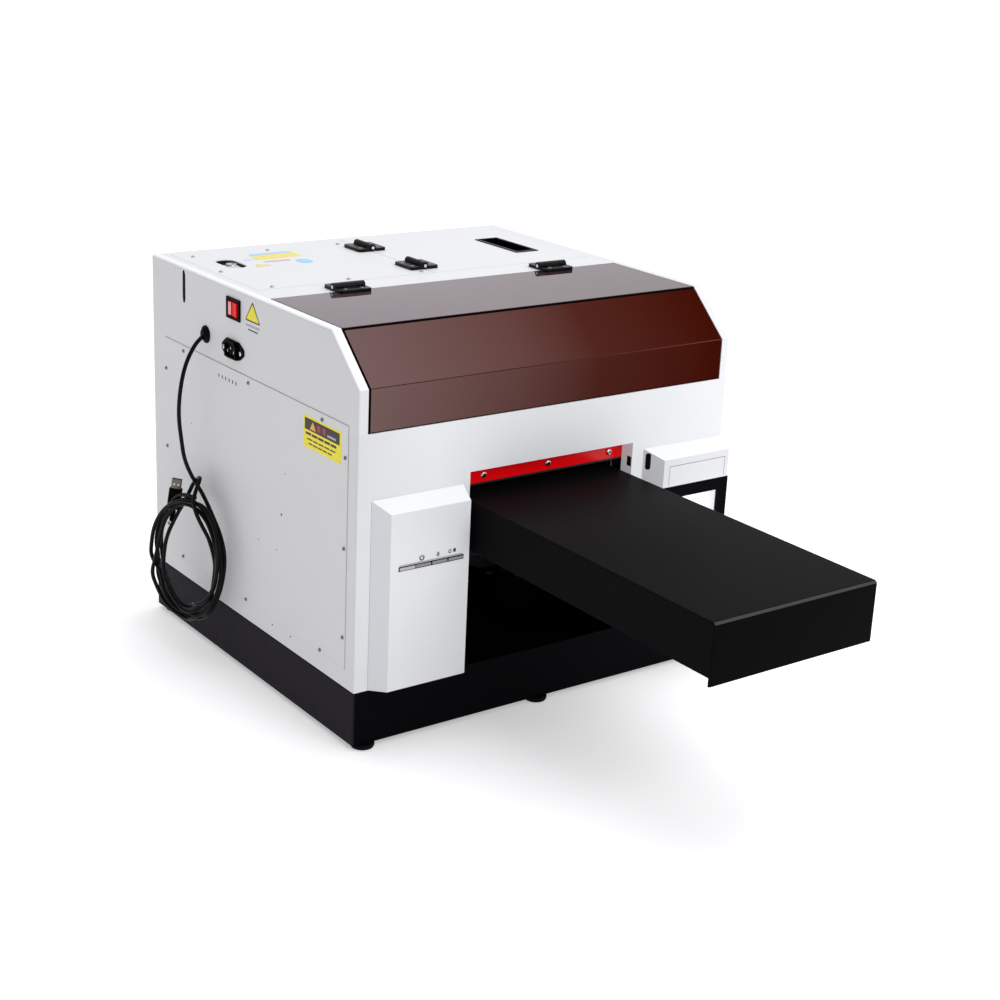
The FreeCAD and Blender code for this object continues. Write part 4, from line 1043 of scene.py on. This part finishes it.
def icons():
    """Small plain marks above the three buttons."""
    ink = printed("print_icon", (0.02, 0.02, 0.022))
    pod = front_face(POD_FRONT)
    centre = (-183.4, 219.3)
    arc = ellipse(centre, 3.3, count=18, start=125, end=415)
    inner = ellipse(centre, 1.9, count=18, start=125, end=415)
    sticker("icon_ring", pod, arc + inner[::-1], ink)
    sticker("icon_ring_tick", pod, block((-183.9, -182.9), (219.6, 222.9)), ink)
    drop_x = -162.6
    drop = [(drop_x, 223)] + ellipse((drop_x, 219.4), 1.9, 2.1, 12, 160, 380)
    hollow = [(drop_x, 220.9)] + ellipse((drop_x, 219.3), 0.8, 0.9, 12, 160, 380)
    plate("icon_drop", pod, drop, 0.02, 0.14, ink, hollow)
    centre = (-147.2, 220.2)
    circle, hollow = ellipse(centre, 2.1, 2.3, 16), ellipse(centre, 1.2, 1.4, 16)
    plate("icon_circle", pod, circle, 0.02, 0.14, ink, hollow)
    sticker("icon_sheet", pod, softened_outline(block((-142.7, -139.5), (218.3, 222.6)), 0.7), ink)
    line = softened_outline(block((-212, -130.5), (214.3, 215.2)), 0.3)
    sticker("button_line", pod, line, "shadow_grey", 2)
    # A dark band of painted shade in the groove round the buttons.
    groove = block((-212.8, -128.9), (208.3, 213.6))
    plate("button_groove_shade", pod, groove, 0.0, 0.16, "pit_black")


# ---- fittings on the roof and the left side ----

LATCH_X = -195
LATCH_Y = 347
ROCKER = (SIDE, 224.5, 437.6)
PLUG_SPOT = (-289, 313.9, 191.2)
PLUG_TURN = 55
PLUG_LEAN = 8
# Radius and height of the plug's ribbed relief, from its end to the grip.
PLUG_RELIEF = [(2.6, -30), (2.6, -28.5), (3.1, -28.2), (3.1, -26.2), (2.6, -25.9), (2.7, -24.2), (3.2, -23.9),
               (3.3, -21.9), (2.8, -21.6), (2.9, -19.8), (3.4, -19.5), (3.5, -17.5), (3.0, -17.2),
               (3.3, -13.5)]


def roof_fittings():
    """The grey lip of the finger cup and the latch below the round-ended hole."""
    roof = roof_face(ROOF)
    low, high = (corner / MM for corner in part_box("lid_pull_bezel"))
    lip = [(low.x + 1.8, high.y - 2.5), (low.x + 1.8, low.y + 1.8), (high.x - 2.5, low.y + 1.8),
           (high.x - 3.2, low.y + 3.1), (low.x + 3.1, low.y + 3.1), (low.x + 3.1, high.y - 3.2)]
    plate("cup_lip", roof, lip, 0.6, 1.15, "line_grey", body="lid", edge=0.15)
    x, y = LATCH_X, LATCH_Y
    bed = softened_outline(block((x - 12, x + 12), (y - 24, y + 24)), 11)
    plate("latch_plate", roof, bed, -6, -4, "aluminium", slot="ground_steel", edge=0.4)
    tab = softened_outline([(x - 8, y - 19), (x + 5, y - 19), (x + 8, y + 8), (x - 4, y + 8)], 3)
    plate("latch_tab", roof, tab, -4, -1.6, "aluminium", slot="ground_steel", edge=0.8)
    ring = ellipse((x + 1, y + 1), 6.5, 6.5, 24)
    inner = ellipse((x + 1, y + 1), 4.2, 4.2, 24)
    plate("latch_ring", roof, ring, -1.8, -0.5, "bright_steel", inner, slot="bright_steel", edge=0.3)
    shade = softened_outline([(x - 11, y + 13), (x + 11, y + 13), (x + 9, y + 23.5), (x - 9, y + 23.5)], 4)
    plate("latch_shade", roof, shade, -4, -3.6, "pit_black")


def inlet():
    """Mains inlet: the plate with tapered ends, a raised rim, the recess and its contacts."""
    y, z = -INLET_Y, INLET_Z
    side = left_face(SIDE)
    ends = [(y - 25.5, z - 3.5), (y - 15, z - 11.6), (y + 7, z - 11.2), (y + 18, z - 8.2), (y + 27, z - 1.5),
            (y + 27, z + 3.5), (y + 25.5, z + 6), (y + 15, z + 11.8), (y - 15, z + 11.6), (y - 25.5, z + 3.5)]
    black = "black_plastic"
    body = plate("inlet_plate", side, softened_outline(ends, 1.8), 0, 1.4, black, slot=black, edge=0.5)
    raised = [(y - 13.5, z - 9), (y + 13.5, z - 9), (y + 13.5, z + 5), (y + 9, z + 10.4), (y - 9.5, z + 10.4),
              (y - 13.5, z + 7.5)]
    rim = softened_outline(raised, 1.5)
    opening = [(y + (a - y) * 0.85, z + (b - z) * 0.8) for a, b in raised]
    opening = softened_outline(opening, 1.2)
    plate("inlet_rim", side, rim, 1.2, 4.9, black, opening, slot=black, edge=0.4)
    plate("inlet_recess", side, opening, 1.3, 1.55, "pit_black")
    pins = [prism(side, block((y + a - 0.7, y + a + 0.7), (z + b - 1.5, z + b + 1.5)), 1.5, 3.6)
            for a, b in ((-7, -1.5), (0, 2.5), (7, -1.5))]
    merged("inlet_contacts", pins, "roof_steel", slot="bright_steel")
    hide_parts("mains_inlet")


def rocker_key():
    """A glossy rocker whose two faces meet in a shallow V, one of them with a painted pale glint, and painted
    shade in the crease.
    """
    profile = [(3, -10.7), (-2.7, -10.7), (-3.3, -10.1), (-1.6, 2.2), (-2.9, 9.0), (-2.5, 9.6), (3, 9.6)]
    face = Face(ROCKER, (1, 0, 0), (0, 1, 0))
    piece = plate("rocker_shown", face, profile, -8.1, 8.1, "red_plastic", body="rocker", slot="red_plastic",
                  edge=0.5, segments=3)
    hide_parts("rocker")
    # A painted highlight on the rear face.
    glint = [(-1.9, 3.2), (-2.8, 8.2), (-3.0, 8.1), (-2.05, 3.1)]
    plate("rocker_glint", face, glint, -7.2, 7.2, "painted_glint_pink", body="rocker")
    # Painted shade in the crease of the V.
    crease = [(-1.6, 1.7), (-1.75, 2.7), (-1.95, 2.7), (-1.8, 1.7)]
    plate("rocker_crease_shade", face, crease, -7.9, 7.9, "pit_black", body="rocker")


def plug():
    """The data plug: a ribbed grip with its relief, a folded metal shell and the tongue inside."""
    turn = Matrix.Rotation(math.radians(PLUG_TURN), 3, "Z") @ Matrix.Rotation(math.radians(PLUG_LEAN), 3, "X")
    face = Face(PLUG_SPOT, turn @ Vector((1, 0, 0)), turn @ Vector((0, 1, 0)))
    black = "black_plastic"
    outline = softened_outline(block((-4, 4), (-7.75, 7.75)), 1.5)
    grip = plate("plug_grip", face, outline, -14, 12, black, slot=black, edge=0.6)
    merged("plug_relief", [lathe(face, (0, 0), PLUG_RELIEF)], black, slot=black)
    outer = softened_outline(block((-2.25, 2.25), (-6, 6)), 0.6)
    inner = softened_outline(block((-1.9, 1.9), (-5.65, 5.65)), 0.4)
    plate("plug_shell", face, outer, 11, 24, "shell_steel", inner, slot="bright_steel")
    plate("plug_tongue", face, block((-1.6, 0.2), (-5.3, 5.3)), 11, 23, "pit_black")
    marks = []
    for y in (-3.6, 1.4):
        for x in (-2.3, 2.25):
            wall = Face(face.point(x, 0, 0), face.up, face.out)
            marks.append(prism(wall, block((y, y + 2.2), (16.2, 18.6)), 0, 0.06))
    merged("plug_windows", marks, "label_white")
    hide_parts("usb_plug")
    return grip


make_camera()
make_studio()
dress_nodes()
for node_name, width in SOFT_EDGES.items():
    softened(node_name, width)
hood_sheet()
screws()
hinge_details()
side_gaps()
pod_gaps()
roof_and_bay_gaps()
roof_labels()
side_labels()
icons()
roof_fittings()
inlet()
rocker_key()
data_lead(plug())
